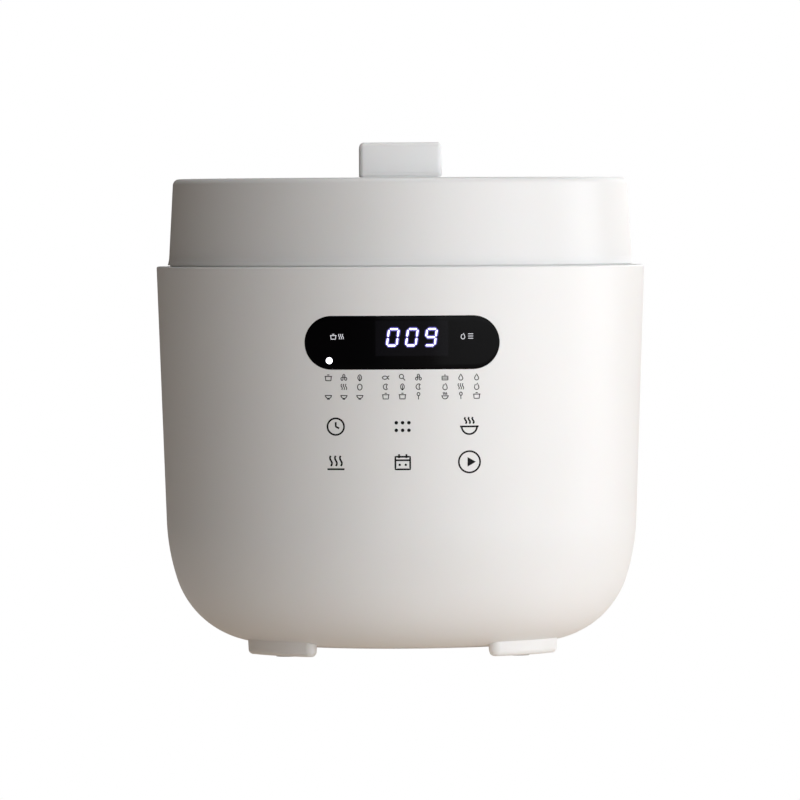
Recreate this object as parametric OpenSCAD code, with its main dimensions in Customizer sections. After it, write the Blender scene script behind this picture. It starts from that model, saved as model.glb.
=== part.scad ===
// Electric pressure cooker: a round white body on four feet, a bayonet lid with a bar handle, a black
// display window on the front, and everything that the body holds inside. Millimetres, +Z up, front
// towards -Y, origin on the floor under the middle of the body.

/* [Body] */
// Radius of the body at its top rim
rim_r = 150; // [149.5:0.1:150.5]
// Height of the top rim above the floor
rim_z = 237.2; // [232:0.2:245]
// Lean of the side wall from vertical, degrees
taper = 2; // [1.6:0.1:2.2]
// Height where the straight wall starts to curve under
knee_z = 80.7; // [78:0.1:81.2]
// Thickness of the outer shell
shell_t = 2.5; // [2.2:0.1:2.7]

/* [Lid] */
// Height of the lid's top surface above the rim
lid_h = 53.6; // [50:0.2:56]
// Radius of the lid's top edge
lid_edge_r = 5.5; // [4:0.5:6]
// Width of each tooth, degrees
tooth_deg = 18; // [15:1:19]
// Turn from open to locked, degrees
lock_deg = 22.5; // [20:0.5:22.5]

/* [Handle] */
// Width of the handle across its grip
handle_w = 50.2; // [44:0.2:54]
// Length of the handle from front to back
handle_l = 152; // [146:1:154]
// Height of the handle above the lid
handle_h = 21.4; // [20.6:0.2:24]

/* [Pot] */
// Inside radius of the cooking pot
pot_r = 110; // [106:1:110]
// Thickness of the pot's wall
pot_t = 1.5; // [1.2:0.1:1.5]

/* [Display] */
// Width of the display window
lens_w = 116.8; // [110:0.2:120]
// Height of the display window
lens_h = 32; // [28:0.2:33]
// Depth of the window's centre below the rim
lens_drop = 45.3; // [44:0.1:48]

/* [Hidden] */
$fn = 96;
eps = 0.01;
gap = 0.3;

// Three tangent arcs carry the side wall round to the flat bottom. Angles are those of the outward
// normal below the horizontal.
arc_1_r = 130;
arc_2_r = 56;
arc_3_r = 300;
arc_1_end = 18;
arc_2_end = 84;

function normal(a) = [cos(a), -sin(a)];
function wall_r(z, inset) = rim_r - (rim_z - z) * tan(taper) - inset / cos(taper);
arc_1_c = [wall_r(knee_z, 0), knee_z] - arc_1_r * normal(taper);
arc_2_c = arc_1_c + (arc_1_r - arc_2_r) * normal(arc_1_end);
arc_3_c = arc_2_c + (arc_2_r - arc_3_r) * normal(arc_2_end);
function arc_points(c, r, a0, a1, steps) = [for (i = [0:steps]) c + r * normal(a0 + (a1 - a0) * i / steps)];
function skin(top_z, inset) = concat(
    [[wall_r(top_z, inset), top_z]],
    arc_points(arc_1_c, arc_1_r - inset, taper, arc_1_end, 4),
    arc_points(arc_2_c, arc_2_r - inset, arc_1_end + 6, arc_2_end, 10),
    arc_points(arc_3_c, arc_3_r - inset, arc_2_end + 3, 90, 1)
);
bottom_z = arc_3_c[1] - arc_3_r;

// Levels of the top of the body and of the lid, measured from the rim
collar_top = rim_z - 0.4;
collar_floor = rim_z - 7.7;
channel_floor = rim_z - 5.7;
ring_top = rim_z - 2.2;
ring_ledge = rim_z - 23.2;
flange_z = rim_z - 17.2;
lid_base = rim_z + 0.8;
lid_top = rim_z + lid_h;
lid_t = 2.5;
liner_z = rim_z - 0.2;
plate_z = rim_z + 2.8;
plateau_z = rim_z + 12.8;
plate_t = 2;
well_floor = lid_top - 12;
handle_top = lid_top + handle_h;

// Bayonet: its number of teeth, and its radii measured from the rim
teeth = 8;
ring_in = rim_r - 19;
ring_out = rim_r - 16;
tooth_in = rim_r - 26.5;
lid_tooth_out = rim_r - 20.2;
skirt_out = rim_r - 28.2;
skirt_in = skirt_out - 2;
plateau_r = rim_r - 37;
liner_in = rim_r - 34;
liner_out = liner_in + 1;
pot_flange_r = rim_r - 32;
collar_in = ring_out + 0.4;
channel_out = rim_r - 9;
ring_flange_t = 2;

// Inside of the base
pot_z = 69;
liner_floor = 55;
heater_top = 68.7;
heater_bottom = 60;
heater_r = 85;
heater_hole_r = 13;
tube_ring_r = 62;
tube_r = 4;
tube_z = heater_bottom - 0.5;
base_hole_r = 78;
rebate_r = 72;
rebate_z = 6.3;
base_top = 8;
screw_sink = 2.2;
post_r = 58;
post_first = 0;
foot_z = 0.5;
power_x = [-62, -3];
power_half_y = 38;
power_z = 16;
power_top = power_z + 1.6;
pad_at = [70, -61];
pad_r = 7;

// Valve, float and interlock on the lid
valve_y = 98;
float_r = 101;
float_az = 75.5;
float_pin_r = 3;
peg_r = 1.8;
peg_at = rim_r - 13.6;
slide_travel = 4;
slider_z = plateau_z + plate_t + 2;
lid_screw_r = rim_r - 19.5;
lid_screw_first = 45;
collar_screw_r = rim_r - 6.1;
collar_screw_first = 15;

// Front panel
lens_z = rim_z - lens_drop;
board_y = -126.8;
board_t = 1.6;
key_rows = [lens_z - 50.2, lens_z - 71.7];
key_pitch = 40;

// Drip cup and mains inlet at the back
cup_w = 40;
cup_z = rim_z - 50;
cup_top = ring_ledge - 0.8;
cup_y = 126;
inlet_w = 34;
inlet_h = 28;
inlet_z = 84;
inlet_face = 142.8;
pin_places = [[-7, -2], [7, -2], [0, 4]];
pin_r = 2;

// ---- shared shapes ----

module disc(r, z0, z1) {
    translate([0, 0, z0]) cylinder(r = r, h = z1 - z0);
}

module ring(r_in, r_out, z0, z1) {
    difference() {
        disc(r_out, z0, z1);
        disc(r_in, z0 - 1, z1 + 1);
    }
}

module block(x0, x1, y0, y1, z0, z1) {
    translate([x0, y0, z0]) cube([x1 - x0, y1 - y0, z1 - z0]);
}

module polar(az, r) {
    rotate(az) translate([r, 0, 0]) children();
}

module around(count, first) {
    for (i = [0:count - 1]) rotate(first + i * 360 / count) children();
}

module arc_block(r0, r1, z0, z1, az, width) {
    rotate(az - width / 2) rotate_extrude(angle = width) translate([r0, z0]) square([r1 - r0, z1 - z0]);
}

module stadium(half_l, r) {
    square([2 * (half_l - r), 2 * r], center = true);
    for (s = [-1, 1]) translate([s * (half_l - r), 0]) circle(r);
}

// A screw with its head's underside at the origin and its shaft towards +Z
module screw(head_r, head_h, shaft_r, shaft_l) {
    translate([0, 0, -head_h]) cylinder(r = head_r, h = head_h);
    translate([0, 0, -eps]) cylinder(r = shaft_r, h = shaft_l + eps);
}

// The space inside the body's outline, set in by inset, up to top_z
module body_space(inset, top_z) {
    rotate_extrude() polygon(concat([[0, top_z]], skin(top_z, inset), [[0, bottom_z + inset]]));
}

// Everything at the front, inside the display window's outline grown by grow
module lens_prism(grow) {
    translate([0, 0, lens_z]) rotate([90, 0, 0]) linear_extrude(rim_r + 10)
        stadium(lens_w / 2 + grow, lens_h / 2 + grow);
}

// ---- base: covers ----

lug_count = 6;
lug_first = 45;
rim_edge = 1;

module outer_shell() {
    cup_gap = 0.4;
    inlet_gap = 0.3;
    lens_gap = 0.2;
    lug_t = 3;
    lug_z = collar_floor - ring_flange_t - 0.1;
    color("white") {
        difference() {
            body_space(0, rim_z);
            body_space(shell_t, rim_z + 5);
            rotate_extrude() polygon([
                [wall_r(rim_z, 0) - rim_edge, rim_z + eps], [rim_r + 2, rim_z + eps],
                [rim_r + 2, rim_z - 3], [wall_r(rim_z - rim_edge, 0), rim_z - rim_edge]
            ]);
            disc(base_hole_r, -1, rebate_z);
            disc(rebate_r, -1, bottom_z + shell_t + 2);
            lens_prism(lens_gap);
            block(-cup_w / 2 - cup_gap, cup_w / 2 + cup_gap, cup_y, rim_r + 5,
                  cup_z - cup_gap, cup_top + cup_gap);
            block(-inlet_w / 2 - inlet_gap, inlet_w / 2 + inlet_gap, 100, rim_r + 5,
                  inlet_z - inlet_h / 2 - inlet_gap, inlet_z + inlet_h / 2 + inlet_gap);
        }
        // lugs that carry the lock ring's flange
        around(lug_count, lug_first)
            arc_block(rim_r - 6.2, wall_r(lug_z - lug_t, shell_t) + 0.8, lug_z - lug_t, lug_z, 0, 14);
    }
}

drain_y = rim_r - 11.5;
drain_r = 2;

module top_collar() {
    rib_steps = 9;
    spread = 3;
    lip_top = rim_z - 3.2;
    rib_top = rim_z - 0.7;
    // inner face of the cam: it closes in as the lid turns from open to locked
    function cam_r(a) = peg_at + peg_r + gap - slide_travel * min(1, max(0, a / lock_deg));
    color("white") difference() {
        union() {
            rotate_extrude() polygon([
                [collar_in, collar_floor], [rim_r - 3, collar_floor], [rim_r - 3, collar_top],
                [channel_out, collar_top], [channel_out, channel_floor],
                [collar_in + 1.6, channel_floor], [collar_in + 1.6, lip_top], [collar_in, lip_top]
            ]);
            translate([0, 0, channel_floor - eps]) linear_extrude(rib_top - channel_floor)
                polygon(concat(
                    [for (i = [0:rib_steps])
                        let (a = -spread + (lock_deg + 2 * spread) * i / rib_steps)
                        cam_r(a) * [cos(float_az - a), sin(float_az - a)]],
                    [for (i = [rib_steps:-1:0])
                        let (a = -spread + (lock_deg + 2 * spread) * i / rib_steps)
                        (channel_out + 0.5) * [cos(float_az - a), sin(float_az - a)]]
                ));
        }
        translate([0, drain_y, 0]) disc(drain_r, collar_floor - 1, channel_floor + 1);
        around(lug_count, collar_screw_first)
            translate([collar_screw_r, 0, 0]) disc(1.5, collar_floor - 1, collar_floor + 6.2);
    }
}

module collar_screws() {
    color("silver") around(lug_count, collar_screw_first)
        translate([collar_screw_r, 0, collar_floor - ring_flange_t - eps]) screw(2.4, 2, 1.45, 8);
}

module base_plate() {
    vent_l = 26;
    vent_pitch = 7;
    vent_count = 5;
    screw_head_r = 3.6;
    board_post_inset = 6;
    color("gainsboro") difference() {
        union() {
            disc(rebate_r - 0.4, bottom_z, base_top);
            disc(base_hole_r - 0.3, bottom_z, rebate_z - 0.2);
            for (x = [power_x[0] + board_post_inset, power_x[1] - board_post_inset], side = [-1, 1])
                translate([x, side * (power_half_y - board_post_inset), 0])
                    disc(4, base_top - 1, power_z - 0.1);
        }
        around(3, post_first) translate([post_r, 0, 0]) {
            disc(screw_head_r, bottom_z - 1, bottom_z + screw_sink);
            disc(2.1, bottom_z, base_top + 1);
        }
        for (s = [-1, 1], i = [0:vent_count - 1])
            translate([12 + vent_pitch * i, s * vent_l, 0])
                linear_extrude(20) rotate(90) stadium(vent_l / 2, 1.6);
    }
}

module chassis_posts() {
    color("silver") around(3, post_first) translate([post_r, 0, 0]) difference() {
        disc(5, base_top, liner_floor - 1);
        disc(2, base_top - 1, base_top + 14);
    }
}

module base_screws() {
    color("dimgray") around(3, post_first)
        translate([post_r, 0, bottom_z + screw_sink]) screw(3.3, 1.8, 1.9, 14);
}

// A foot's plan: its outer side follows the body and its ends are straight
foot_in_r = 80;
foot_out_r = 103.5;
foot_x = [52.4, 94.8];
foot_y = 40;
foot_corner = 8;

module foot_plan() {
    offset(r = foot_corner) offset(delta = -foot_corner) intersection() {
        difference() {
            circle(foot_out_r);
            circle(foot_in_r);
        }
        translate([foot_x[0], -rim_r]) square([foot_x[1] - foot_x[0], rim_r - foot_y]);
    }
}

// Levels of a foot's rounded lower edge, each with its inset from the plan
foot_levels = [[foot_z, 2.6], [foot_z + 0.8, 1], [foot_z + 2.9, 0], [16, -0.5]];

module foot() {
    difference() {
        hull() for (level = foot_levels)
            translate([0, 0, level[0]]) linear_extrude(eps) offset(delta = -level[1]) foot_plan();
        translate(pad_at) disc(pad_r + 0.2, -1, foot_z + 0.7);
    }
}

module each_foot() {
    for (side = [0, 1], turn = [0, 180]) rotate(turn) mirror([side, 0, 0]) children();
}

module feet() {
    color("white") difference() {
        each_foot() foot();
        body_space(0, 60);
    }
}

module foot_pads() {
    color("dimgray") each_foot() translate(pad_at) disc(pad_r, 0, foot_z + 0.7);
}

// ---- base: bayonet ring, liner and heater ----

module lock_ring() {
    ledge_in = liner_in + 1.3;
    ledge_t = 3;
    flange_r = rim_r - 3.6;
    tooth_h = 3;
    color("silver") difference() {
        union() {
            rotate_extrude() polygon([
                [ledge_in, ring_ledge], [ring_out, ring_ledge], [ring_out, collar_floor - ring_flange_t],
                [flange_r, collar_floor - ring_flange_t], [flange_r, collar_floor],
                [ring_out, collar_floor], [ring_out, ring_top], [ring_in, ring_top],
                [ring_in, ring_ledge + ledge_t], [ledge_in, ring_ledge + ledge_t]
            ]);
            around(teeth, 360 / teeth / 2)
                arc_block(tooth_in, ring_in + 0.5, ring_top - tooth_h, ring_top, 0, tooth_deg);
        }
        translate([0, drain_y, 0]) disc(drain_r + 0.5, collar_floor - 3, collar_floor + 1);
        around(lug_count, collar_screw_first)
            translate([collar_screw_r, 0, 0]) disc(1.6, collar_floor - 3, collar_floor + 1);
    }
}

terminal_az = 75;
sensor_hole_r = 22;
sensor_cup_z = 44.5;
sensor_cup_floor = 46;
sensor_stem_r = 5;
sensor_stem_z = 40;
sensor_disc_z = 61.2;

module liner() {
    color("silver") difference() {
        union() {
            disc(liner_out, liner_floor - 1, ring_ledge);
            disc(liner_out + 5, ring_ledge - 1, ring_ledge);
        }
        disc(liner_in, liner_floor, ring_ledge + 1);
        disc(sensor_hole_r, liner_floor - 2, liner_floor + 1);
        for (s = [-1, 1]) polar(s * terminal_az - 180, tube_ring_r) disc(4, liner_floor - 2, liner_floor + 1);
    }
}

module insulation() {
    color("lightyellow") ring(liner_out + 0.3, liner_out + 6.5, inlet_z + 24, ring_ledge - 10);
}

module heater_plate() {
    color("lightgray") difference() {
        disc(heater_r, heater_bottom, heater_top);
        disc(heater_hole_r, heater_bottom - 1, heater_top + 1);
        rotate_extrude() translate([tube_ring_r, tube_z]) circle(tube_r + 0.1);
    }
}

module heater_tube() {
    // the tube runs a little past each terminal
    end_az = terminal_az - 5;
    color("dimgray") {
        rotate(180 + end_az) rotate_extrude(angle = 360 - 2 * end_az)
            translate([tube_ring_r, tube_z]) circle(tube_r);
        for (s = [-1, 1]) polar(s * terminal_az - 180, tube_ring_r) disc(2.6, 42, tube_z);
    }
}

module heater_mounts() {
    color("silver") around(3, 30) translate([74, 0, 0]) ring(2.5, 6, liner_floor, heater_bottom);
}

module sensor_bracket() {
    color("silver") difference() {
        union() {
            disc(sensor_hole_r - 0.5, sensor_cup_z, liner_floor - 1);
            disc(sensor_hole_r + 12, liner_floor - 2.5, liner_floor - 1);
        }
        disc(sensor_hole_r - 2, sensor_cup_floor, liner_floor);
        disc(sensor_stem_r + gap, sensor_cup_z - 1, sensor_cup_floor + 1);
    }
}

module sensor_cap() {
    color("lightgray") {
        disc(11.5, sensor_disc_z, heater_top);
        disc(sensor_stem_r, sensor_stem_z, sensor_disc_z + eps);
    }
}

module sensor_spring() {
    color("silver") ring(sensor_stem_r + 0.7, sensor_stem_r + 2, sensor_cup_floor, sensor_disc_z);
}

module inner_pot() {
    foot_edge = 8;
    flange_t = 2;
    out_r = pot_r + pot_t;
    color("dimgray") difference() {
        union() {
            rotate_extrude() polygon(concat(
                [[0, pot_z]],
                [for (a = [-90:15:0]) [
                    out_r - foot_edge + foot_edge * cos(a),
                    pot_z + foot_edge + foot_edge * sin(a)
                ]],
                [[out_r, flange_z + flange_t], [0, flange_z + flange_t]]
            ));
            disc(pot_flange_r, flange_z, flange_z + flange_t);
        }
        rotate_extrude() polygon(concat(
            [[0, pot_z + pot_t]],
            [for (a = [-90:15:0]) [
                out_r - foot_edge + (foot_edge - pot_t) * cos(a),
                pot_z + foot_edge + (foot_edge - pot_t) * sin(a)
            ]],
            [[pot_r, flange_z + 3], [0, flange_z + 3]]
        ));
    }
}

// ---- base: front panel and electrics ----

module display_lens() {
    lens_t = 1.8;
    color("black") intersection() {
        lens_prism(0);
        difference() {
            body_space(0, rim_z - 10);
            body_space(lens_t, rim_z - 5);
        }
    }
}

board_x = 52;
board_z0 = lens_z - 84;
board_z1 = lens_z + 18;

module board_bracket() {
    wall = 2;
    back_y = board_y + 2;
    side_y = -131;
    color("dimgray") {
        block(-board_x - wall - gap, board_x + wall + gap, board_y + 0.5, back_y,
              board_z0 - wall - gap, board_z1 + wall + gap);
        for (s = [-1, 1]) translate([s * (board_x + gap + wall / 2), 0, 0])
            block(-wall / 2, wall / 2, side_y, back_y, board_z0 - wall - gap, board_z1 + wall + gap);
        for (x = [-board_x + 6, board_x - 6], z = [board_z0 + 6, board_z1 - 6])
            translate([x, board_y, z]) rotate([-90, 0, 0]) cylinder(r = 3, h = 0.6);
    }
}

module control_board() {
    color("darkgreen") {
        block(-board_x, board_x, board_y - board_t, board_y, board_z0, board_z1);
        block(-20, 4, board_y - board_t - 2.2, board_y - board_t, board_z0 + 44, board_z0 + 56);
    }
}

led_x0 = -16;
led_x1 = 27.5;

module led_display() {
    color("black") block(led_x0, led_x1, -143.4, board_y - board_t, lens_z - 7.9, lens_z + 13.1);
}

module touch_springs() {
    spring_r = 6;
    wire = 1.2;
    color("silver") for (column = [-1:1], z = key_rows) {
        x = column * key_pitch;
        shell_y = sqrt(pow(wall_r(z - spring_r, shell_t) - gap, 2) - pow(abs(x) + spring_r, 2));
        translate([x, board_y - board_t, z]) rotate([90, 0, 0]) difference() {
            cylinder(r = spring_r, h = shell_y + board_y - board_t);
            translate([0, 0, 1]) cylinder(r = spring_r - wire, h = shell_y);
        }
    }
}

module power_board() {
    capacitor_r = 5;
    color("darkgreen") {
        block(power_x[0], power_x[1], -power_half_y, power_half_y, power_z, power_top);
        for (x = [-50, -38]) translate([x, 22, 0]) disc(capacitor_r, power_top, power_top + 18.4);
    }
}

module relay() {
    color("royalblue") block(-24, -8, -34, -14, power_top + 0.1, power_top + 16.4);
}

// A bobbin foot, the core, and the winding across the core
module transformer() {
    foot_top = power_top + 4.4;
    color("goldenrod") {
        block(-58, -30, -32, -4, power_top + 0.1, foot_top);
        block(-54, -34, -32, -4, foot_top, foot_top + 18);
        block(-58, -30, -26, -10, foot_top, foot_top + 16);
    }
}

module thermal_fuse() {
    fuse_r = 2.6;
    fuse_l = 28;
    fuse_y = -70;
    color("ivory") {
        translate([-fuse_l / 2, fuse_y, liner_floor - 4.5]) rotate([0, 90, 0])
            cylinder(r = fuse_r, h = fuse_l);
        block(-6, 6, fuse_y - 4, fuse_y + 4, liner_floor - 3, liner_floor - 1);
    }
}

module pressure_switch() {
    // a body hung from the liner by two ears, with its plunger between them
    body_l = 24;
    body_w = 16;
    body_z = [38, 49];
    ear_t = 2;
    color("ivory") translate([36, 22, 0]) {
        block(0, body_l, 0, body_w, body_z[0], body_z[1]);
        translate([body_l / 2, body_w / 2, 0]) disc(2.2, body_z[1] - 1, liner_floor - 1);
        for (x = [ear_t, body_l - 2 * ear_t])
            block(x, x + ear_t, 0, body_w, body_z[1] - 1, liner_floor - 1);
    }
}

module inlet_housing() {
    socket_w = 26;
    socket_h = 20;
    back_y = 118.6;
    flange_y = 136.4;
    flange_t = 2;
    color("dimgray") difference() {
        union() {
            block(-inlet_w / 2, inlet_w / 2, back_y, inlet_face,
                  inlet_z - inlet_h / 2, inlet_z + inlet_h / 2);
            block(-inlet_w / 2 - 5, inlet_w / 2 + 5, flange_y, flange_y + flange_t,
                  inlet_z - inlet_h / 2 - 4, inlet_z + inlet_h / 2 + 4);
        }
        block(-socket_w / 2, socket_w / 2, back_y + 2.5, inlet_face + 1,
              inlet_z - socket_h / 2, inlet_z + socket_h / 2);
        for (p = pin_places) translate([p[0], back_y - 1, inlet_z + p[1]])
            rotate([-90, 0, 0]) cylinder(r = pin_r, h = 6);
    }
}

module inlet_pins() {
    pin_y = 117.8;
    pin_l = 18;
    tip_l = 1.2;
    color("silver") for (p = pin_places)
        translate([p[0], pin_y, inlet_z + p[1]]) rotate([-90, 0, 0]) {
            cylinder(r = pin_r, h = pin_l);
            translate([0, 0, pin_l - eps]) cylinder(r1 = pin_r, r2 = 1.2, h = tip_l);
        }
}

// ---- drip cup ----

module cup_holder() {
    wall = 1.8;
    side = cup_w / 2 + 0.4;
    back = wall_r(cup_z - 3, shell_t) - 2.5;
    color("white") difference() {
        block(-side - wall, side + wall, cup_y - 1.4, back, cup_z - 0.4 - wall, cup_top - 2);
        block(-side, side, cup_y - 0.4, back + 1, cup_z - 0.4, cup_top + 1);
    }
}

module drip_cup() {
    wall = 1.6;
    grip_z = cup_z + 9;
    color("whitesmoke") difference() {
        intersection() {
            block(-cup_w / 2, cup_w / 2, cup_y, rim_r + 5, cup_z, cup_top);
            body_space(0, rim_z);
        }
        block(-cup_w / 2 + wall, cup_w / 2 - wall, cup_y + wall, rim_r - 6, cup_z + wall, cup_top + 1);
        // finger recess in the outer face
        block(-12, 12, rim_r - 3.2, rim_r + 5, grip_z, grip_z + 8);
    }
}

// ---- inner lid ----

seal_in = rim_r - 41.5;
inner_plate_z = rim_z - 8.2;
inner_plate_t = 1.5;
inner_plate_r = seal_in + 3.4;
stud_r = 4;

module inner_lid_plate() {
    // a stiffening rib beneath, holes that let the steam through, and a strainer by the valve
    rib_r = seal_in - 12;
    steam_hole_r = 2.5;
    strainer_y = valve_y - 14;
    color("lightgray") difference() {
        union() {
            disc(inner_plate_r, inner_plate_z, inner_plate_z + inner_plate_t);
            ring(rib_r - 2, rib_r, inner_plate_z - 3, inner_plate_z + inner_plate_t);
        }
        disc(7.2, inner_plate_z - 1, inner_plate_z + 3);
        around(6, 90) translate([70, 0, 0]) disc(steam_hole_r, inner_plate_z - 1, inner_plate_z + 3);
        for (x = [-6, 0, 6], y = [-5, 5]) translate([x, strainer_y + y, 0])
            disc(1.6, inner_plate_z - 1, inner_plate_z + 3);
    }
}

module inner_lid_grommet() {
    color("white") rotate_extrude() polygon([
        [stud_r + 0.1, inner_plate_z - 3], [9.5, inner_plate_z - 3], [9.5, inner_plate_z - 0.1],
        [7, inner_plate_z - 0.1], [7, inner_plate_z + inner_plate_t + 0.1],
        [9.5, inner_plate_z + inner_plate_t + 0.1], [9.5, inner_plate_z + inner_plate_t + 2],
        [stud_r + 0.1, inner_plate_z + inner_plate_t + 4]
    ]);
}

module sealing_ring() {
    seal_bottom = flange_z + 2 + gap;
    seal_top = plate_z - gap;
    slot_z = inner_plate_z - 0.1;
    color("white") rotate_extrude() polygon([
        [seal_in, slot_z], [seal_in, slot_z - 2.4], [seal_in + 3.5, seal_bottom + 1],
        [skirt_in - 4, seal_bottom], [skirt_in - 0.5, seal_bottom], [skirt_in - 0.5, seal_top],
        [seal_in + 6, seal_top], [seal_in + 6, slot_z + inner_plate_t + 3.4],
        [seal_in, slot_z + inner_plate_t + 2.6], [seal_in, slot_z + inner_plate_t + 0.2],
        [inner_plate_r + 0.1, slot_z + inner_plate_t + 0.2], [inner_plate_r + 0.1, slot_z]
    ]);
}

// ---- lid ----

lid_r = rim_r - 7.8;
lid_lean = 0.0605;
lid_flare = 0.9;
function lid_wall(z) = lid_r - (z - lid_base - 3.5) * lid_lean;
well_half_w = 40;
well_r = 17;
boss_r = 11;
pipe_r = 5;
weight_r = 8.8;

module lid_body(inset) {
    top = lid_top - inset;
    edge = lid_edge_r - inset;
    edge_z = lid_top - lid_edge_r;
    rotate_extrude() polygon(concat(
        [[0, lid_base - (inset > 0 ? 1 : 0)], [lid_r + lid_flare - inset, lid_base - (inset > 0 ? 1 : 0)],
         [lid_r - inset, lid_base + 3.5]],
        [for (a = [0:10:90]) [
            lid_wall(edge_z) - lid_edge_r + edge * cos(a),
            edge_z + edge * sin(a)
        ]],
        [[0, top]]
    ));
}

module well(grow, z0, z1) {
    translate([0, valve_y, z0]) linear_extrude(z1 - z0) stadium(well_half_w + grow, well_r + grow);
}

module lid_shell() {
    color("white") difference() {
        union() {
            difference() {
                lid_body(0);
                lid_body(lid_t);
            }
            well(lid_t, well_floor - lid_t, lid_top - 1);
            translate([0, valve_y, 0]) disc(boss_r, well_floor - 1, well_floor + 4);
            around(lug_count, lid_screw_first)
                translate([lid_screw_r, 0, 0]) disc(4.5, plate_z + plate_t, lid_top - 1.5);
        }
        difference() {
            well(0, well_floor, lid_top + 1);
            translate([0, valve_y, 0]) disc(boss_r, well_floor - 1, well_floor + 4);
        }
        translate([0, valve_y, 0]) {
            disc(pipe_r + 0.4, well_floor - 5, well_floor + 5);
            disc(weight_r + 0.4, well_floor + 1, well_floor + 5);
        }
        polar(float_az, float_r) disc(float_pin_r + 0.6, well_floor - 5, well_floor + 5);
        around(lug_count, lid_screw_first)
            translate([lid_screw_r, 0, 0]) disc(1.5, plate_z, plate_z + 14);
        handle_holes(2.1, lid_top - 6, lid_top + 1);
    }
}

handle_screw_at = [15, 55];

module each_handle_screw() {
    for (x = [-1, 1], y = [-1, 1])
        translate([x * handle_screw_at[0], y * handle_screw_at[1], 0]) children();
}

module handle_holes(r, z0, z1) {
    each_handle_screw() disc(r, z0, z1);
}

module lid_liner() {
    color("white") difference() {
        ring(skirt_out + 0.5, rim_r - 11.1, liner_z, plate_z);
        around(lug_count, lid_screw_first) translate([lid_screw_r, 0, 0]) {
            disc(3.1, liner_z - 1, liner_z + 1.8);
            disc(1.7, liner_z, plate_z + 1);
        }
        // slot for the interlock's peg
        rotate(float_az) block(peg_at - slide_travel - peg_r - 0.5, rim_r, -peg_r - 0.5, peg_r + 0.5,
                               liner_z - 1, plate_z + 1);
    }
}

module lid_screws() {
    color("silver") around(lug_count, lid_screw_first)
        translate([lid_screw_r, 0, liner_z + 1.8]) screw(2.8, 1.5, 1.45, 14);
}

module lid_plate() {
    skirt_z = rim_z - 9.7;
    color("silver") difference() {
        union() {
            ring(skirt_in, skirt_out, skirt_z, plate_z + plate_t);
            ring(plateau_r - plate_t, skirt_out, plate_z, plate_z + plate_t);
            ring(plateau_r - plate_t, plateau_r, plate_z, plateau_z + plate_t);
            disc(plateau_r, plateau_z, plateau_z + plate_t);
            around(teeth, 0) arc_block(skirt_out - 0.5, lid_tooth_out, skirt_z, skirt_z + 3, 0, tooth_deg);
            around(lug_count, lid_screw_first) {
                block(skirt_out - 1, lid_screw_r, -5, 5, plate_z, plate_z + plate_t);
                translate([lid_screw_r, 0, 0]) disc(5, plate_z, plate_z + plate_t);
            }
        }
        around(lug_count, lid_screw_first)
            translate([lid_screw_r, 0, 0]) disc(1.7, plate_z - 1, plate_z + plate_t + 1);
        translate([0, valve_y, 0]) disc(5.2, plateau_z - 1, plateau_z + 4);
        polar(float_az, float_r) disc(5.7, plateau_z - 1, plateau_z + 4);
        disc(stud_r + 0.1, plateau_z - 1, plateau_z + 4);
    }
}

module lid_stud() {
    color("silver") {
        disc(stud_r, inner_plate_z - 5, plateau_z + plate_t + 6);
        disc(stud_r + 1.2, inner_plate_z - 8, inner_plate_z - 4);
        disc(7.5, plateau_z - 2, plateau_z);
    }
}

module stud_nut() {
    color("silver") difference() {
        translate([0, 0, plateau_z + plate_t]) cylinder(r = 7.5, h = 4.5, $fn = 6);
        disc(stud_r + 0.05, plateau_z, plateau_z + 10);
    }
}

// ---- handle ----

plinth_h = 0.9;
handle_base_h = 2.6;
handle_seam = 0.5;
handle_corner = 3;

module handle_base() {
    inset = 0.8;
    color("white") difference() {
        union() {
            block(-handle_w / 2 + inset, handle_w / 2 - inset, -handle_l / 2 + inset, handle_l / 2 - inset,
                  lid_top, lid_top + plinth_h);
            block(-handle_w / 2, handle_w / 2, -handle_l / 2, handle_l / 2,
                  lid_top + plinth_h, lid_top + handle_base_h);
            block(-handle_w / 2 + 3.5, handle_w / 2 - 3.5, -handle_l / 2 + 3.5, handle_l / 2 - 3.5,
                  lid_top + handle_base_h - 1, lid_top + handle_base_h + 2);
        }
        handle_holes(2.1, lid_top - 1, lid_top + 8);
        handle_holes(4.6, lid_top + handle_base_h - 0.2, lid_top + 8);
    }
}

module handle_cover() {
    wall = 2.6;
    z0 = lid_top + handle_base_h + handle_seam;
    corner_x = handle_w / 2 - handle_corner;
    corner_y = handle_l / 2 - handle_corner;
    groove_l = 110;
    color("white") difference() {
        hull() for (x = [-1, 1], y = [-1, 1]) translate([x * corner_x, y * corner_y, 0]) {
            translate([0, 0, z0]) cylinder(r = handle_corner, h = 1, $fn = 32);
            translate([0, 0, handle_top - handle_corner]) sphere(r = handle_corner, $fn = 32);
        }
        difference() {
            block(-handle_w / 2 + wall + 2.5, handle_w / 2 - wall - 2.5,
                  -handle_l / 2 + wall, handle_l / 2 - wall, z0 - 1, handle_top - wall);
            handle_holes(4.5, z0, handle_top);
        }
        block(-handle_w / 2 + wall, handle_w / 2 - wall, -handle_l / 2 + wall, handle_l / 2 - wall,
              z0 - 1, z0 + 3);
        handle_holes(1.95, z0 - 1, z0 + 12);
        // grip grooves along both long sides
        for (s = [-1, 1]) translate([s * (handle_w / 2 + 2), 0, z0 + 7]) rotate([90, 0, 0])
            linear_extrude(groove_l, center = true) circle(4.4);
    }
}

module handle_screws() {
    color("silver") each_handle_screw() translate([0, 0, lid_top - lid_t]) screw(3.6, 2.2, 1.9, 17);
}

// ---- valve, float and interlock ----

pipe_top = well_floor + 8;

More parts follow.
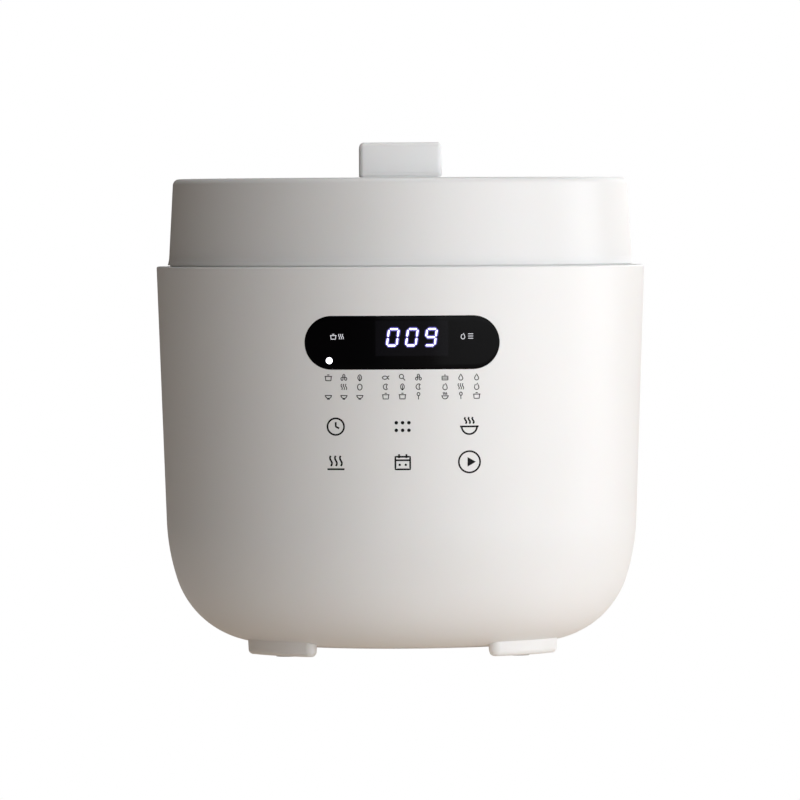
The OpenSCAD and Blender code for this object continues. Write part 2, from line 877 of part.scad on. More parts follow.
module vent_pipe() {
    tip_h = 3;
    bore_r = 1.8;
    color("silver") translate([0, valve_y, 0]) difference() {
        union() {
            disc(pipe_r, plateau_z - 8, pipe_top - tip_h);
            translate([0, 0, pipe_top - tip_h - eps]) cylinder(r1 = pipe_r, r2 = 3, h = tip_h);
            disc(9, plateau_z + plate_t, plateau_z + plate_t + 3);
        }
        disc(bore_r, plateau_z - 9, pipe_top + 1);
    }
}

module vent_nut() {
    color("silver") translate([0, valve_y, 0]) difference() {
        translate([0, 0, plateau_z - 5]) cylinder(r = 9, h = 5, $fn = 6);
        disc(pipe_r + 0.05, plateau_z - 6, plateau_z + 1);
    }
}

module anti_clog_cap() {
    cap_bottom = plateau_z - 15;
    color("silver") translate([0, valve_y, 0]) difference() {
        disc(10.6, cap_bottom, plateau_z - 0.2);
        disc(9.9, cap_bottom + 0.7, plateau_z);
        around(8, 0) translate([6, 0, 0]) disc(1.2, cap_bottom - 1, cap_bottom + 2);
        around(4, 0) rotate(22.5) block(0, 12, -1.2, 1.2, cap_bottom + 2, cap_bottom + 7);
    }
}

knob_r = 14.5;

module valve_knob() {
    knob_z = well_floor + 1.5;
    knob_top = lid_top + 16;
    edge = 1.5;
    color("white") translate([0, valve_y, 0]) difference() {
        union() {
            disc(knob_r, knob_z, knob_top - edge);
            translate([0, 0, knob_top - edge - eps]) cylinder(r1 = knob_r, r2 = knob_r - edge, h = edge);
            block(-3, 3, -knob_r + 2.5, knob_r - 2.5, knob_top - 1, knob_top + 4);
        }
        disc(boss_r + 0.5, knob_z - 1, well_floor + 4.5);
        disc(weight_r + 0.4, knob_z, knob_top - 3);
    }
}

module valve_weight() {
    weight_z = well_floor + 4.6;
    color("silver") translate([0, valve_y, 0]) difference() {
        disc(weight_r, weight_z, lid_top + 10);
        disc(pipe_r + 0.6, weight_z - 1, pipe_top + 0.6);
    }
}

module float_guide() {
    color("silver") polar(float_az, float_r) difference() {
        union() {
            disc(5.5, plateau_z - 1, plateau_z + plate_t + 6);
            disc(8, plateau_z + plate_t, plateau_z + plate_t + 1.4);
        }
        disc(float_pin_r + 0.3, plateau_z - 2, plateau_z + 12);
    }
}

module float_pin() {
    color("red") polar(float_az, float_r) {
        disc(float_pin_r, plateau_z - 10, well_floor + 5);
        disc(5, plateau_z - 10, plateau_z - 8);
    }
}

module float_seal() {
    color("silver") polar(float_az, float_r)
        ring(float_pin_r + 0.05, 6, plateau_z - 8 + 0.05, plateau_z - 6.3);
}

slider_in = 74;
slider_half_w = 10;
spring_l = 12.5;

module interlock_slider() {
    slot_half_w = 6.4;
    tail_half_w = 4;
    tip = peg_at + peg_r;
    color("white") rotate(float_az) difference() {
        union() {
            block(slider_in, float_r + 16, -slider_half_w, slider_half_w, slider_z, slider_z + 2);
            block(float_r + 15, peg_at, -tail_half_w, tail_half_w, slider_z, slider_z + 2);
            translate([peg_at, 0, 0]) disc(peg_r, rim_z - 1.8, slider_z + 2);
        }
        block(float_r - 6.3, float_r + 10.5, -slot_half_w, slot_half_w, slider_z - 1, slider_z + 3);
    }
}

module interlock_bracket() {
    strap_x = 80;
    strap_l = 8;
    leg = slider_half_w + 0.4;
    floor_z = plateau_z + plate_t;
    color("silver") rotate(float_az) {
        for (s = [-1, 1]) translate([0, s * (leg + 0.8), 0])
            block(strap_x, strap_x + strap_l, -0.8, 0.8, floor_z, slider_z + 4);
        block(strap_x, strap_x + strap_l, -leg - 1.6, leg + 1.6, slider_z + 2.5, slider_z + 4);
        block(slider_in - spring_l - 1.5, slider_in - spring_l, -6, 6, floor_z, slider_z + 6);
    }
}

module interlock_spring() {
    color("silver") rotate(float_az) translate([slider_in - spring_l, 0, slider_z + 1]) rotate([0, 90, 0])
        difference() {
            cylinder(r = 2.8, h = spring_l);
            translate([0, 0, -1]) cylinder(r = 1.8, h = spring_l + 2);
        }
}

outer_shell();
top_collar();
collar_screws();
lock_ring();
liner();
insulation();
heater_plate();
heater_tube();
heater_mounts();
sensor_bracket();
sensor_cap();
sensor_spring();
base_plate();
chassis_posts();
base_screws();
feet();
foot_pads();
display_lens();
board_bracket();
control_board();
led_display();
touch_springs();
power_board();
relay();
transformer();
thermal_fuse();
pressure_switch();
inlet_housing();
inlet_pins();
cup_holder();
drip_cup();
inner_pot();
inner_lid_plate();
inner_lid_grommet();
sealing_ring();
lid_shell();
lid_liner();
lid_plate();
lid_stud();
stud_nut();
lid_screws();
handle_base();
handle_cover();
handle_screws();
vent_pipe();
vent_nut();
anti_clog_cap();
valve_knob();
valve_weight();
float_guide();
float_pin();
float_seal();
interlock_slider();
interlock_bracket();
interlock_spring();
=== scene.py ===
"""Looks of the electric pressure cooker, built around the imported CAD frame.

+Z is up and the front panel faces -Y. Sizes in this file are millimetres; the helpers turn them into
Blender's metres. Every piece rides on the CAD body that carries it.
"""
import math

import bmesh
import bpy
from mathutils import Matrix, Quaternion, Vector


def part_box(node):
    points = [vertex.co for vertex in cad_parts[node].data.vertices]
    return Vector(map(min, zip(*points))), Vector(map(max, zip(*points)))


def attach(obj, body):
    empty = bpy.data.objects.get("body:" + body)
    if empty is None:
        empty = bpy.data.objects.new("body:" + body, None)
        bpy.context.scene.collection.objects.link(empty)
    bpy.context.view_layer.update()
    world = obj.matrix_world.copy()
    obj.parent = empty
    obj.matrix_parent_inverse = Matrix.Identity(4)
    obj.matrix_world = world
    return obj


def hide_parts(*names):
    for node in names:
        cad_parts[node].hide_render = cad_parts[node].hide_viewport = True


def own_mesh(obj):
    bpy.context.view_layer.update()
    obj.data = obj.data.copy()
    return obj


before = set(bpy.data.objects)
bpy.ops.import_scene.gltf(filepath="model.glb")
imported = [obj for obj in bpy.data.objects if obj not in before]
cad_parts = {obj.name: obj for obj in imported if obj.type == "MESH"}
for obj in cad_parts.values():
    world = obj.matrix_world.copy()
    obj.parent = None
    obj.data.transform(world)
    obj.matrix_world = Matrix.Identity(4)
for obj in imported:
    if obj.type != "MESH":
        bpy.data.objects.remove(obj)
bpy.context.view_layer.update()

MM = 0.001


# ---- sizes shared with the CAD model ----

def box_mm(node):
    """Lowest and highest corner of a CAD node, in millimetres."""
    low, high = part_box(node)
    return low / MM, high / MM


RIM_R = 150.0
RIM_Z = box_mm("outer_shell")[1].z
TAPER = math.radians(2)
KNEE_Z = 80.7
SHELL_T = 2.5
ARCS = ((130.0, 18), (56.0, 84), (300.0, 90))
BASE_HOLE_R = 78.0
REBATE_R = 72.0
REBATE_Z = 6.3

LID_LOW, LID_HIGH = box_mm("lid_shell")
LID_TOP = LID_HIGH.z
LID_BASE = RIM_Z + 0.8
LID_R = RIM_R - 7.8
LID_LEAN = 0.0605
LID_EDGE_R = 5.5
LID_T = 2.5

HANDLE_LOW, HANDLE_HIGH = box_mm("handle_cover")
HANDLE_BASE_LOW, HANDLE_BASE_HIGH = box_mm("handle_base")
LENS_LOW, LENS_HIGH = box_mm("display_lens")
LENS_Z = (LENS_LOW.z + LENS_HIGH.z) / 2
VALVE_Y = sum(c.y for c in box_mm("valve_knob")) / 2
KNOB_LOW, KNOB_HIGH = box_mm("valve_knob")
FLOAT_LOW, FLOAT_HIGH = box_mm("float_pin")
FLOAT_AT = (FLOAT_LOW + FLOAT_HIGH) / 2
POT_LOW, POT_HIGH = box_mm("inner_pot")


def wall_r(z, inset=0.0):
    """Radius of the body's straight wall at a height."""
    return RIM_R - (RIM_Z - z) * math.tan(TAPER) - inset / math.cos(TAPER)


def body_outline(top_z, inset, step=2):
    """Points (radius, height) down the body's wall and round to the middle of its flat bottom."""
    points = [(wall_r(z, inset), z) for z in (top_z, (top_z + KNEE_Z) / 2)]
    start = math.degrees(TAPER)
    radius, end = ARCS[0]
    centre = Vector((wall_r(KNEE_Z), KNEE_Z)) - radius * normal(start)
    for i, (radius, end) in enumerate(ARCS):
        if i:
            centre += (ARCS[i - 1][0] - radius) * normal(start)
        count = max(2, round((end - start) / step))
        for k in range(0 if i == 0 else 1, count + 1):
            point = centre + (radius - inset) * normal(start + (end - start) * k / count)
            points.append((point.x, point.y))
        start = end
    return points


def normal(degrees):
    """Unit normal of the wall where it leans by this angle below the horizontal."""
    a = math.radians(degrees)
    return Vector((math.cos(a), -math.sin(a)))


def outline_z(radius, inset=0.0):
    """Height of the body's underside at a radius."""
    points = [p for p in body_outline(KNEE_Z + 20, inset, 1) if p[1] < KNEE_Z]
    for (r0, z0), (r1, z1) in zip(points, points[1:]):
        if r1 <= radius <= r0:
            return z1 + (z0 - z1) * (radius - r1) / max(r0 - r1, 1e-9)
    return points[-1][1]


# ---- mesh helpers ----

def vert(bm, x, y, z):
    return bm.verts.new((x * MM, y * MM, z * MM))


def rounded(points, steps=6, closed=True):
    """The outline with its corners rounded. A point is (x, y), or (x, y, radius)."""
    out = []
    count = len(points)
    for i, point in enumerate(points):
        here = Vector(point[:2])
        radius = point[2] if len(point) > 2 else 0
        if radius <= 0 or (not closed and i in (0, count - 1)):
            out.append((here.x, here.y))
            continue
        back = Vector(points[i - 1][:2]) - here
        ahead = Vector(points[(i + 1) % count][:2]) - here
        half = back.angle(ahead) / 2
        reach = min(radius / math.tan(half), 0.499 * min(back.length, ahead.length))
        radius = reach * math.tan(half)
        centre = here + (back.normalized() + ahead.normalized()).normalized() * radius / math.sin(half)
        first = here + back.normalized() * reach - centre
        last = here + ahead.normalized() * reach - centre
        turn = math.atan2(first.x * last.y - first.y * last.x, first.dot(last))
        for k in range(steps + 1):
            a = turn * k / steps
            out.append((centre.x + first.x * math.cos(a) - first.y * math.sin(a),
                        centre.y + first.x * math.sin(a) + first.y * math.cos(a)))
    return out


def bridge(bm, low, high, loop=True):
    """Faces between two rings of vertices. A ring of one vertex makes a fan."""
    count = max(len(low), len(high))
    for i in range(count if loop else count - 1):
        j = (i + 1) % count
        corners = [low[i % len(low)], low[j % len(low)], high[j % len(high)], high[i % len(high)]]
        corners = list(dict.fromkeys(corners))
        if len(corners) > 2:
            bm.faces.new(corners)


def skin(bm, rings, closed=False):
    """Faces along a row of rings. A closed row joins its last ring to its first."""
    for low, high in zip(rings, rings[1:] + rings[:1] if closed else rings[1:]):
        bridge(bm, low, high)


def cap(bm, rings):
    """Flat faces over both ends of a row of rings."""
    bm.faces.new(list(reversed(rings[0])))
    bm.faces.new(rings[-1])


def circle(bm, r, z, turns, at=(0, 0), wave=None):
    """A ring of vertices round a vertical axis."""
    ring = []
    for i in range(turns):
        a = 2 * math.pi * i / turns
        waved = wave(a, r, z) if wave else r
        ring.append(vert(bm, at[0] + waved * math.cos(a), at[1] + waved * math.sin(a), z))
    return ring


def quarter(radius, steps):
    """A quarter round as pairs that run from (radius, 0) to (0, radius)."""
    turns = [math.pi / 2 * k / steps for k in range(steps + 1)]
    return [(radius * (1 - math.sin(a)), radius * (1 - math.cos(a))) for a in turns]


def lathe(outline, turns=288, at=(0, 0), bm=None, wave=None):
    """A closed outline of (radius, height) points turned round a vertical axis.

    wave(angle, radius, height) may return a radius that varies around the piece.
    """
    bm = bm or bmesh.new()
    rings = [circle(bm, r, z, turns, at, wave) if r > 1e-6 else [vert(bm, *at, z)] for r, z in outline]
    skin(bm, rings, closed=True)
    return bm


def offset_loop(loop, inset):
    """A closed smooth loop moved inwards. The loop runs anticlockwise."""
    out = []
    count = len(loop)
    for i, (x, y) in enumerate(loop):
        ax, ay = loop[i - 1]
        bx, by = loop[(i + 1) % count]
        side = Vector((by - ay, ax - bx)).normalized()
        out.append((x - side.x * inset, y - side.y * inset))
    return out


def loft(loop, levels, bm=None):
    """A closed solid with one plan: levels are (height, inset) from the bottom to the top."""
    bm = bm or bmesh.new()
    rings = [[vert(bm, x, y, z) for x, y in offset_loop(loop, inset)] for z, inset in levels]
    skin(bm, rings)
    cap(bm, rings)
    return bm


def edge_levels(z0, z1, low_r, high_r, steps=5):
    """Levels for loft(), with the lower and upper edges rounded."""
    bottom = [(z0 + rise, inset) for rise, inset in quarter(low_r, steps)]
    top = [(z1 - drop, inset) for drop, inset in quarter(high_r, steps)]
    return sorted(bottom) + sorted(top)


def stadium_loop(half_l, radius, at=(0, 0), steps=24):
    """A loop with straight long sides and half-round ends, anticlockwise."""
    reach = half_l - radius
    loop = []
    for side, first in ((1, -90), (-1, 90)):
        for k in range(steps + 1):
            a = math.radians(first + 180 * k / steps)
            loop.append((at[0] + side * reach + radius * math.cos(a), at[1] + radius * math.sin(a)))
    return loop


SHARP_ANGLE = 35


def make(name, bm, body, material, sharp=SHARP_ANGLE, stands_for=(), even=True):
    """A finished piece from a bmesh: welded, shaded, riding on its body."""
    bmesh.ops.remove_doubles(bm, verts=bm.verts, dist=1e-7)
    bmesh.ops.recalc_face_normals(bm, faces=bm.faces)
    mesh = bpy.data.meshes.new(name)
    bm.to_mesh(mesh)
    bm.free()
    mesh.shade_smooth()
    mesh.set_sharp_from_angle(angle=math.radians(sharp))
    mesh.materials.append(material)
    piece = bpy.data.objects.new(name, mesh)
    bpy.context.scene.collection.objects.link(piece)
    if even:
        shading = piece.modifiers.new("even_shading", "WEIGHTED_NORMAL")
        shading.keep_sharp = True
    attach(piece, body)
    if stands_for:
        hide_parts(*stands_for)
    return piece


def cut(piece, bm):
    """Cuts a closed shape out of a piece for good."""
    bmesh.ops.recalc_face_normals(bm, faces=bm.faces)
    mesh = bpy.data.meshes.new("cutter")
    bm.to_mesh(mesh)
    bm.free()
    cutter = bpy.data.objects.new("cutter", mesh)
    bpy.context.scene.collection.objects.link(cutter)
    difference = piece.modifiers.new("cut", "BOOLEAN")
    difference.object = cutter
    difference.solver = "EXACT"
    piece.modifiers.move(len(piece.modifiers) - 1, 0)
    bpy.context.view_layer.objects.active = piece
    with bpy.context.temp_override(object=piece, active_object=piece):
        bpy.ops.object.modifier_apply(modifier="cut")
    bpy.data.objects.remove(cutter)
    piece.data.shade_smooth()
    piece.data.set_sharp_from_angle(angle=math.radians(SHARP_ANGLE))


def prism_y(loop, y0, y1):
    """A loop of (x, z) carried from y0 to y1."""
    bm = bmesh.new()
    rings = [[vert(bm, x, y, z) for x, z in loop] for y in (y0, y1)]
    skin(bm, rings)
    cap(bm, rings)
    return bm


def rectangle(x0, x1, y0, y1, radius):
    """A loop with four rounded corners."""
    return rounded([(x0, y0, radius), (x1, y0, radius), (x1, y1, radius), (x0, y1, radius)])


# ---- materials ----

def new_material(name):
    material = bpy.data.materials.new(name)
    material.use_nodes = True
    tree = material.node_tree
    return material, tree, tree.nodes["Principled BSDF"]


def place(tree, kind, **values):
    """A node with its inputs set by name."""
    node = tree.nodes.new(kind)
    for key, value in values.items():
        if hasattr(node, key):
            setattr(node, key, value)
        else:
            node.inputs[key.replace("_", " ").title()].default_value = value
    return node


def object_place(tree, scale=(1, 1, 1)):
    """The piece's own coordinates, in metres, stretched by scale."""
    coords = tree.nodes.new("ShaderNodeTexCoord")
    mapping = tree.nodes.new("ShaderNodeMapping")
    mapping.inputs["Scale"].default_value = scale
    tree.links.new(coords.outputs["Object"], mapping.inputs["Vector"])
    return mapping.outputs["Vector"]


def noise(tree, where, scale, detail=3.0, rough=0.5):
    node = place(tree, "ShaderNodeTexNoise", scale=scale, detail=detail, roughness=rough)
    tree.links.new(where, node.inputs["Vector"])
    return node.outputs["Fac"]


def spread(tree, value, low, high, start=0.3, end=0.7):
    """A noise value mapped to low..high."""
    node = tree.nodes.new("ShaderNodeMapRange")
    node.inputs["From Min"].default_value = start
    node.inputs["From Max"].default_value = end
    node.inputs["To Min"].default_value = low
    node.inputs["To Max"].default_value = high
    tree.links.new(value, node.inputs["Value"])
    return node.outputs["Result"]


def mix_colour(tree, factor, first, second):
    node = tree.nodes.new("ShaderNodeMix")
    node.data_type = "RGBA"
    tree.links.new(factor, node.inputs["Factor"])
    for socket, colour in (("A", first), ("B", second)):
        target = [s for s in node.inputs if s.name == socket and s.type == "RGBA"][0]
        if isinstance(colour, tuple):
            target.default_value = (*colour[:3], 1)
        else:
            tree.links.new(colour, target)
    return [s for s in node.outputs if s.type == "RGBA"][0]


def bump(tree, shader, height, strength, distance):
    node = tree.nodes.new("ShaderNodeBump")
    node.inputs["Strength"].default_value = strength
    node.inputs["Distance"].default_value = distance * MM
    tree.links.new(height, node.inputs["Height"])
    tree.links.new(node.outputs["Normal"], shader.inputs["Normal"])


def shade(colour, factor):
    return tuple(c * factor for c in colour)


def tone(tree, shader, value, dark, light):
    """Base colour that runs from dark to light with a noise value."""
    tree.links.new(mix_colour(tree, spread(tree, value, 0.0, 1.0), dark, light), shader.inputs["Base Color"])


def gloss(tree, shader, value, low, high):
    """Roughness that runs from low to high with a noise value."""
    tree.links.new(spread(tree, value, low, high), shader.inputs["Roughness"])


def plastic(name, colour, rough=0.42, grain=2600.0, depth=0.02, glow=0.0):
    """Moulded plastic: a very fine spark-eroded grain, and faint clouding of tone and gloss."""
    material, tree, shader = new_material(name)
    where = object_place(tree)
    cloud = noise(tree, where, 14.0, 2.0)
    fine = noise(tree, where, grain, 2.0)
    tone(tree, shader, cloud, shade(colour, 0.985), colour)
    gloss(tree, shader, cloud, rough - 0.03, rough + 0.03)
    bump(tree, shader, fine, 0.35, depth)
    if glow:
        shader.inputs["Subsurface Weight"].default_value = glow
        shader.inputs["Subsurface Scale"].default_value = 1.5 * MM
    return material


def metal(name, colour, rough, streak):
    """Brushed or pressed metal: fine streaks along one direction, and cloudy wear in its gloss."""
    material, tree, shader = new_material(name)
    shader.inputs["Metallic"].default_value = 1.0
    lines = noise(tree, object_place(tree, streak), 240.0, 4.0, 0.65)
    cloud = noise(tree, object_place(tree), 22.0, 3.0)
    tone(tree, shader, lines, shade(colour, 0.9), colour)
    gloss(tree, shader, cloud, rough - 0.06, rough + 0.08)
    bump(tree, shader, lines, 0.3, 0.01)
    return material


def turned_metal(name, colour, rough=0.28):
    """Metal spun on a lathe: rings round the piece's vertical axis."""
    material, tree, shader = new_material(name)
    shader.inputs["Metallic"].default_value = 1.0
    coords = tree.nodes.new("ShaderNodeTexCoord")
    split = tree.nodes.new("ShaderNodeSeparateXYZ")
    tree.links.new(coords.outputs["Object"], split.inputs["Vector"])
    flat = tree.nodes.new("ShaderNodeCombineXYZ")
    tree.links.new(split.outputs["X"], flat.inputs["X"])
    tree.links.new(split.outputs["Y"], flat.inputs["Y"])
    length = place(tree, "ShaderNodeVectorMath", operation="LENGTH")
    tree.links.new(flat.outputs["Vector"], length.inputs[0])
    along = tree.nodes.new("ShaderNodeMath")
    along.operation = "ADD"
    tree.links.new(length.outputs["Value"], along.inputs[0])
    tree.links.new(split.outputs["Z"], along.inputs[1])
    ring = tree.nodes.new("ShaderNodeCombineXYZ")
    tree.links.new(along.outputs["Value"], ring.inputs["X"])
    lines = noise(tree, ring.outputs["Vector"], 1800.0, 3.0, 0.6)
    cloud = noise(tree, object_place(tree), 18.0, 3.0)
    tone(tree, shader, lines, shade(colour, 0.86), colour)
    gloss(tree, shader, cloud, rough - 0.05, rough + 0.08)
    bump(tree, shader, lines, 0.3, 0.012)
    return material


def nonstick(name):
    """Dark coating with fine mineral flecks."""
    material, tree, shader = new_material(name)
    where = object_place(tree)
    flecks = noise(tree, where, 900.0, 2.0, 0.4)
    cloud = noise(tree, where, 20.0, 2.0)
    dark = mix_colour(tree, spread(tree, cloud, 0.0, 1.0), (0.030, 0.030, 0.032), (0.042, 0.042, 0.045))
    spotted = mix_colour(tree, spread(tree, flecks, 0.0, 1.0, 0.66, 0.72), dark, (0.20, 0.20, 0.21))
    tree.links.new(spotted, shader.inputs["Base Color"])
    gloss(tree, shader, cloud, 0.34, 0.46)
    bump(tree, shader, noise(tree, where, 1500.0, 3.0), 0.4, 0.03)
    return material


def rubber(name, colour, rough=0.55):
    material, tree, shader = new_material(name)
    where = object_place(tree)
    cloud = noise(tree, where, 60.0, 3.0)
    tone(tree, shader, cloud, shade(colour, 0.93), colour)
    gloss(tree, shader, cloud, rough - 0.05, rough + 0.05)
    bump(tree, shader, noise(tree, where, 1400.0, 4.0), 0.4, 0.04)
    return material


def felt(name, colour):
    material, tree, shader = new_material(name)
    where = object_place(tree, (1, 1, 0.35))
    fibre = noise(tree, where, 700.0, 6.0, 0.75)
    tone(tree, shader, fibre, shade(colour, 0.72), colour)
    shader.inputs["Roughness"].default_value = 0.95
    bump(tree, shader, fibre, 0.8, 0.4)
    return material


def circuit_board(name):
    """Green solder mask with lighter tracks and pads."""
    material, tree, shader = new_material(name)
    where = object_place(tree)
    cells = place(tree, "ShaderNodeTexVoronoi", feature="DISTANCE_TO_EDGE", scale=170.0)
    tree.links.new(where, cells.inputs["Vector"])
    tracks = spread(tree, cells.outputs["Distance"], 1.0, 0.0, 0.02, 0.06)
    masked = mix_colour(tree, tracks, (0.010, 0.075, 0.030), (0.030, 0.150, 0.060))
    tree.links.new(masked, shader.inputs["Base Color"])
    shader.inputs["Roughness"].default_value = 0.3
    bump(tree, shader, tracks, 0.5, 0.05)
    return material


WINDOW_LED = {"x": (-16.0, 27.5), "z": (-7.9, 13.1)}


def window_black(name):
    """Black display window. The display block behind it shows as a slightly lighter patch."""
    material, tree, shader = new_material(name)
    coords = tree.nodes.new("ShaderNodeTexCoord")
    split = tree.nodes.new("ShaderNodeSeparateXYZ")
    tree.links.new(coords.outputs["Object"], split.inputs["Vector"])
    inside = None
    soft = 0.4 * MM
    edges = (("X", WINDOW_LED["x"], 0.0), ("Z", WINDOW_LED["z"], LENS_Z))
    for axis, (low, high), origin in edges:
        for edge, start, end in ((low, 0.0, 1.0), (high, 1.0, 0.0)):
            at = (edge + origin) * MM
            part = spread(tree, split.outputs[axis], start, end, at - soft, at + soft)
            if inside is None:
                inside = part
                continue
            both = tree.nodes.new("ShaderNodeMath")
            both.operation = "MULTIPLY"
            tree.links.new(inside, both.inputs[0])
            tree.links.new(part, both.inputs[1])
            inside = both.outputs["Value"]
    smear = noise(tree, object_place(tree), 40.0, 3.0)
    colour = mix_colour(tree, inside, (0.0006, 0.0006, 0.0010), (0.0045, 0.0043, 0.0060))
    tree.links.new(colour, shader.inputs["Base Color"])
    gloss(tree, shader, smear, 0.16, 0.20)
    shader.inputs["Specular IOR Level"].default_value = 0.05
    return material


def lit(name, colour, strength):
    """A lit display part, with a faint unevenness."""
    material, tree, shader = new_material(name)
    shader.inputs["Base Color"].default_value = (0.02, 0.02, 0.03, 1)
    uneven = spread(tree, noise(tree, object_place(tree), 300.0, 2.0), 0.94, 1.0)
    tinted = mix_colour(tree, uneven, shade(colour, 0.8), colour)
    tree.links.new(tinted, shader.inputs["Emission Color"])
    shader.inputs["Emission Strength"].default_value = strength
    return material


def ink(name, colour):
    """Screen-printed ink, slightly uneven in tone."""
    material, tree, shader = new_material(name)
    uneven = noise(tree, object_place(tree), 900.0, 3.0)
    tone(tree, shader, uneven, shade(colour, 0.85), colour)
    gloss(tree, shader, uneven, 0.5, 0.6)
    shader.inputs["Specular IOR Level"].default_value = 0.15
    return material


WHITE = (0.83, 0.83, 0.825)
MAT = {
    "body_white": plastic("body_white", WHITE, 0.40, glow=0.05),
    # painted shade: the lid is the body's white plastic, given a darker tone so that its sides read darker
    "lid_white": plastic("lid_white", (0.78, 0.78, 0.775), 0.38, glow=0.05),
    "handle_white": plastic("handle_white", (0.85, 0.85, 0.845), 0.34, glow=0.05),
    "inner_white": plastic("inner_white", (0.78, 0.78, 0.77), 0.5),
    "window_black": window_black("window_black"),
    "dark_plastic": plastic("dark_plastic", (0.030, 0.030, 0.033), 0.5, 1800.0, 0.03),
    "steel": turned_metal("steel", (0.62, 0.62, 0.63)),
    "zinc_steel": metal("zinc_steel", (0.55, 0.56, 0.58), 0.32, (1, 1, 3)),
    "cast_aluminium": turned_metal("cast_aluminium", (0.72, 0.72, 0.73), 0.38),
    "pot_coating": nonstick("pot_coating"),
    "pcb_green": circuit_board("pcb_green"),
    "silicone": rubber("silicone", (0.74, 0.74, 0.72), 0.42),
    "pad_rubber": rubber("pad_rubber", (0.42, 0.42, 0.41), 0.7),
    "felt": felt("felt", (0.72, 0.69, 0.60)),
    "relay_blue": plastic("relay_blue", (0.02, 0.06, 0.26), 0.3),
    "coil_tape": plastic("coil_tape", (0.62, 0.42, 0.05), 0.35),
    "ivory_plastic": plastic("ivory_plastic", (0.70, 0.66, 0.55), 0.45),
    "float_red": plastic("float_red", (0.55, 0.03, 0.025), 0.3),
    "pot_outside": turned_metal("pot_outside", (0.70, 0.70, 0.71), 0.34),
    "ink_black": ink("ink_black", (0.004, 0.004, 0.0045)),
    "ink_grey": ink("ink_grey", (0.022, 0.022, 0.024)),
    "lit_white": lit("lit_white", (0.93, 0.92, 1.0), 3.2),
    "lit_halo": lit("lit_halo", (0.20, 0.16, 0.85), 0.55),
    "lit_small": lit("lit_small", (0.9, 0.9, 0.95), 0.8),
}


# ---- body ----

WINDOW_GAP = 0.15
CUP_GAP = 0.4
INLET_HALF_W = 17.3
INLET_HALF_H = 14.3


def make_body():
    """The outer shell: wall, curved underside, window, cup and inlet openings."""
    outer = body_outline(RIM_Z, 0)
    inner = body_outline(RIM_Z, SHELL_T)
    outline = rounded([inner[1], (wall_r(RIM_Z, SHELL_T), RIM_Z, 0.5), (wall_r(RIM_Z), RIM_Z, 1.1),
                       outer[1]], closed=False)
    outline += [p for p in outer[2:] if p[0] > BASE_HOLE_R + 0.6]
    hole_z = outline_z(BASE_HOLE_R)
    outline += [(BASE_HOLE_R + 0.3, hole_z), (BASE_HOLE_R, hole_z + 0.3), (BASE_HOLE_R, REBATE_Z)]
    outline += [(REBATE_R, REBATE_Z), (REBATE_R, outline_z(REBATE_R, SHELL_T))]
    outline += [p for p in reversed(inner[2:]) if p[0] > REBATE_R + 1]
    piece = make("body_shell", lathe(outline, 360), "base", MAT["body_white"],
                 stands_for=["outer_shell"])
    half_l = (LENS_HIGH.x - LENS_LOW.x) / 2
    half_h = (LENS_HIGH.z - LENS_LOW.z) / 2
    window = stadium_loop(half_l + WINDOW_GAP, half_h + WINDOW_GAP, (0, LENS_Z), 32)
    cut(piece, prism_y(window, -RIM_R - 10, -100))
    cup_low, cup_high = box_mm("drip_cup")
    cup = rectangle(cup_low.x - CUP_GAP, cup_high.x + CUP_GAP, cup_low.z - CUP_GAP, cup_high.z + CUP_GAP, 1.5)
    cut(piece, prism_y(cup, RIM_R - 25, RIM_R + 10))
    pin_z = sum(c.z for c in box_mm("inlet_housing")) / 2
    inlet = rectangle(-INLET_HALF_W, INLET_HALF_W, pin_z - INLET_HALF_H, pin_z + INLET_HALF_H, 1)
    cut(piece, prism_y(inlet, RIM_R - 40, RIM_R + 10))
    soften(piece, 0.25)


def soften(piece, width, angle=50):
    """A small round on every hard edge of a piece."""
    bevel = piece.modifiers.new("edge_round", "BEVEL")
    bevel.width = width * MM
    bevel.segments = 2
    bevel.limit_method = "ANGLE"
    bevel.angle_limit = math.radians(angle)
    if "even_shading" in piece.modifiers:
        piece.modifiers.move(len(piece.modifiers) - 1, len(piece.modifiers) - 2)


FOOT_CORNERS = ((52.4, -89.3), (95.6, -39.6), (69.3, -40.0), (52.4, -60.5))
FOOT_OUT_R = 103.5
FOOT_Z = 0.5
FOOT_EDGE_R = 3
FOOT_SUNK = 1.2


def foot_loop(mirror_x, mirror_y):
    """A foot's plan, anticlockwise: an outer side that follows the body, and straight ends."""
    first = math.atan2(FOOT_CORNERS[0][1], FOOT_CORNERS[0][0])
    last = math.atan2(FOOT_CORNERS[1][1], FOOT_CORNERS[1][0])
    angles = [first + (last - first) * k / 12 for k in range(13)]
    outer = [(FOOT_OUT_R * math.cos(a), FOOT_OUT_R * math.sin(a)) for a in angles]
    points = [(*outer[0], 8.0)] + outer[3:-2]
    points += [(*outer[-1], 2.5), (*FOOT_CORNERS[2], 6.0), (*FOOT_CORNERS[3], 8.0)]
    loop = [(x * mirror_x, y * mirror_y) for x, y in rounded(points, 8)]
    return loop if mirror_x * mirror_y > 0 else list(reversed(loop))


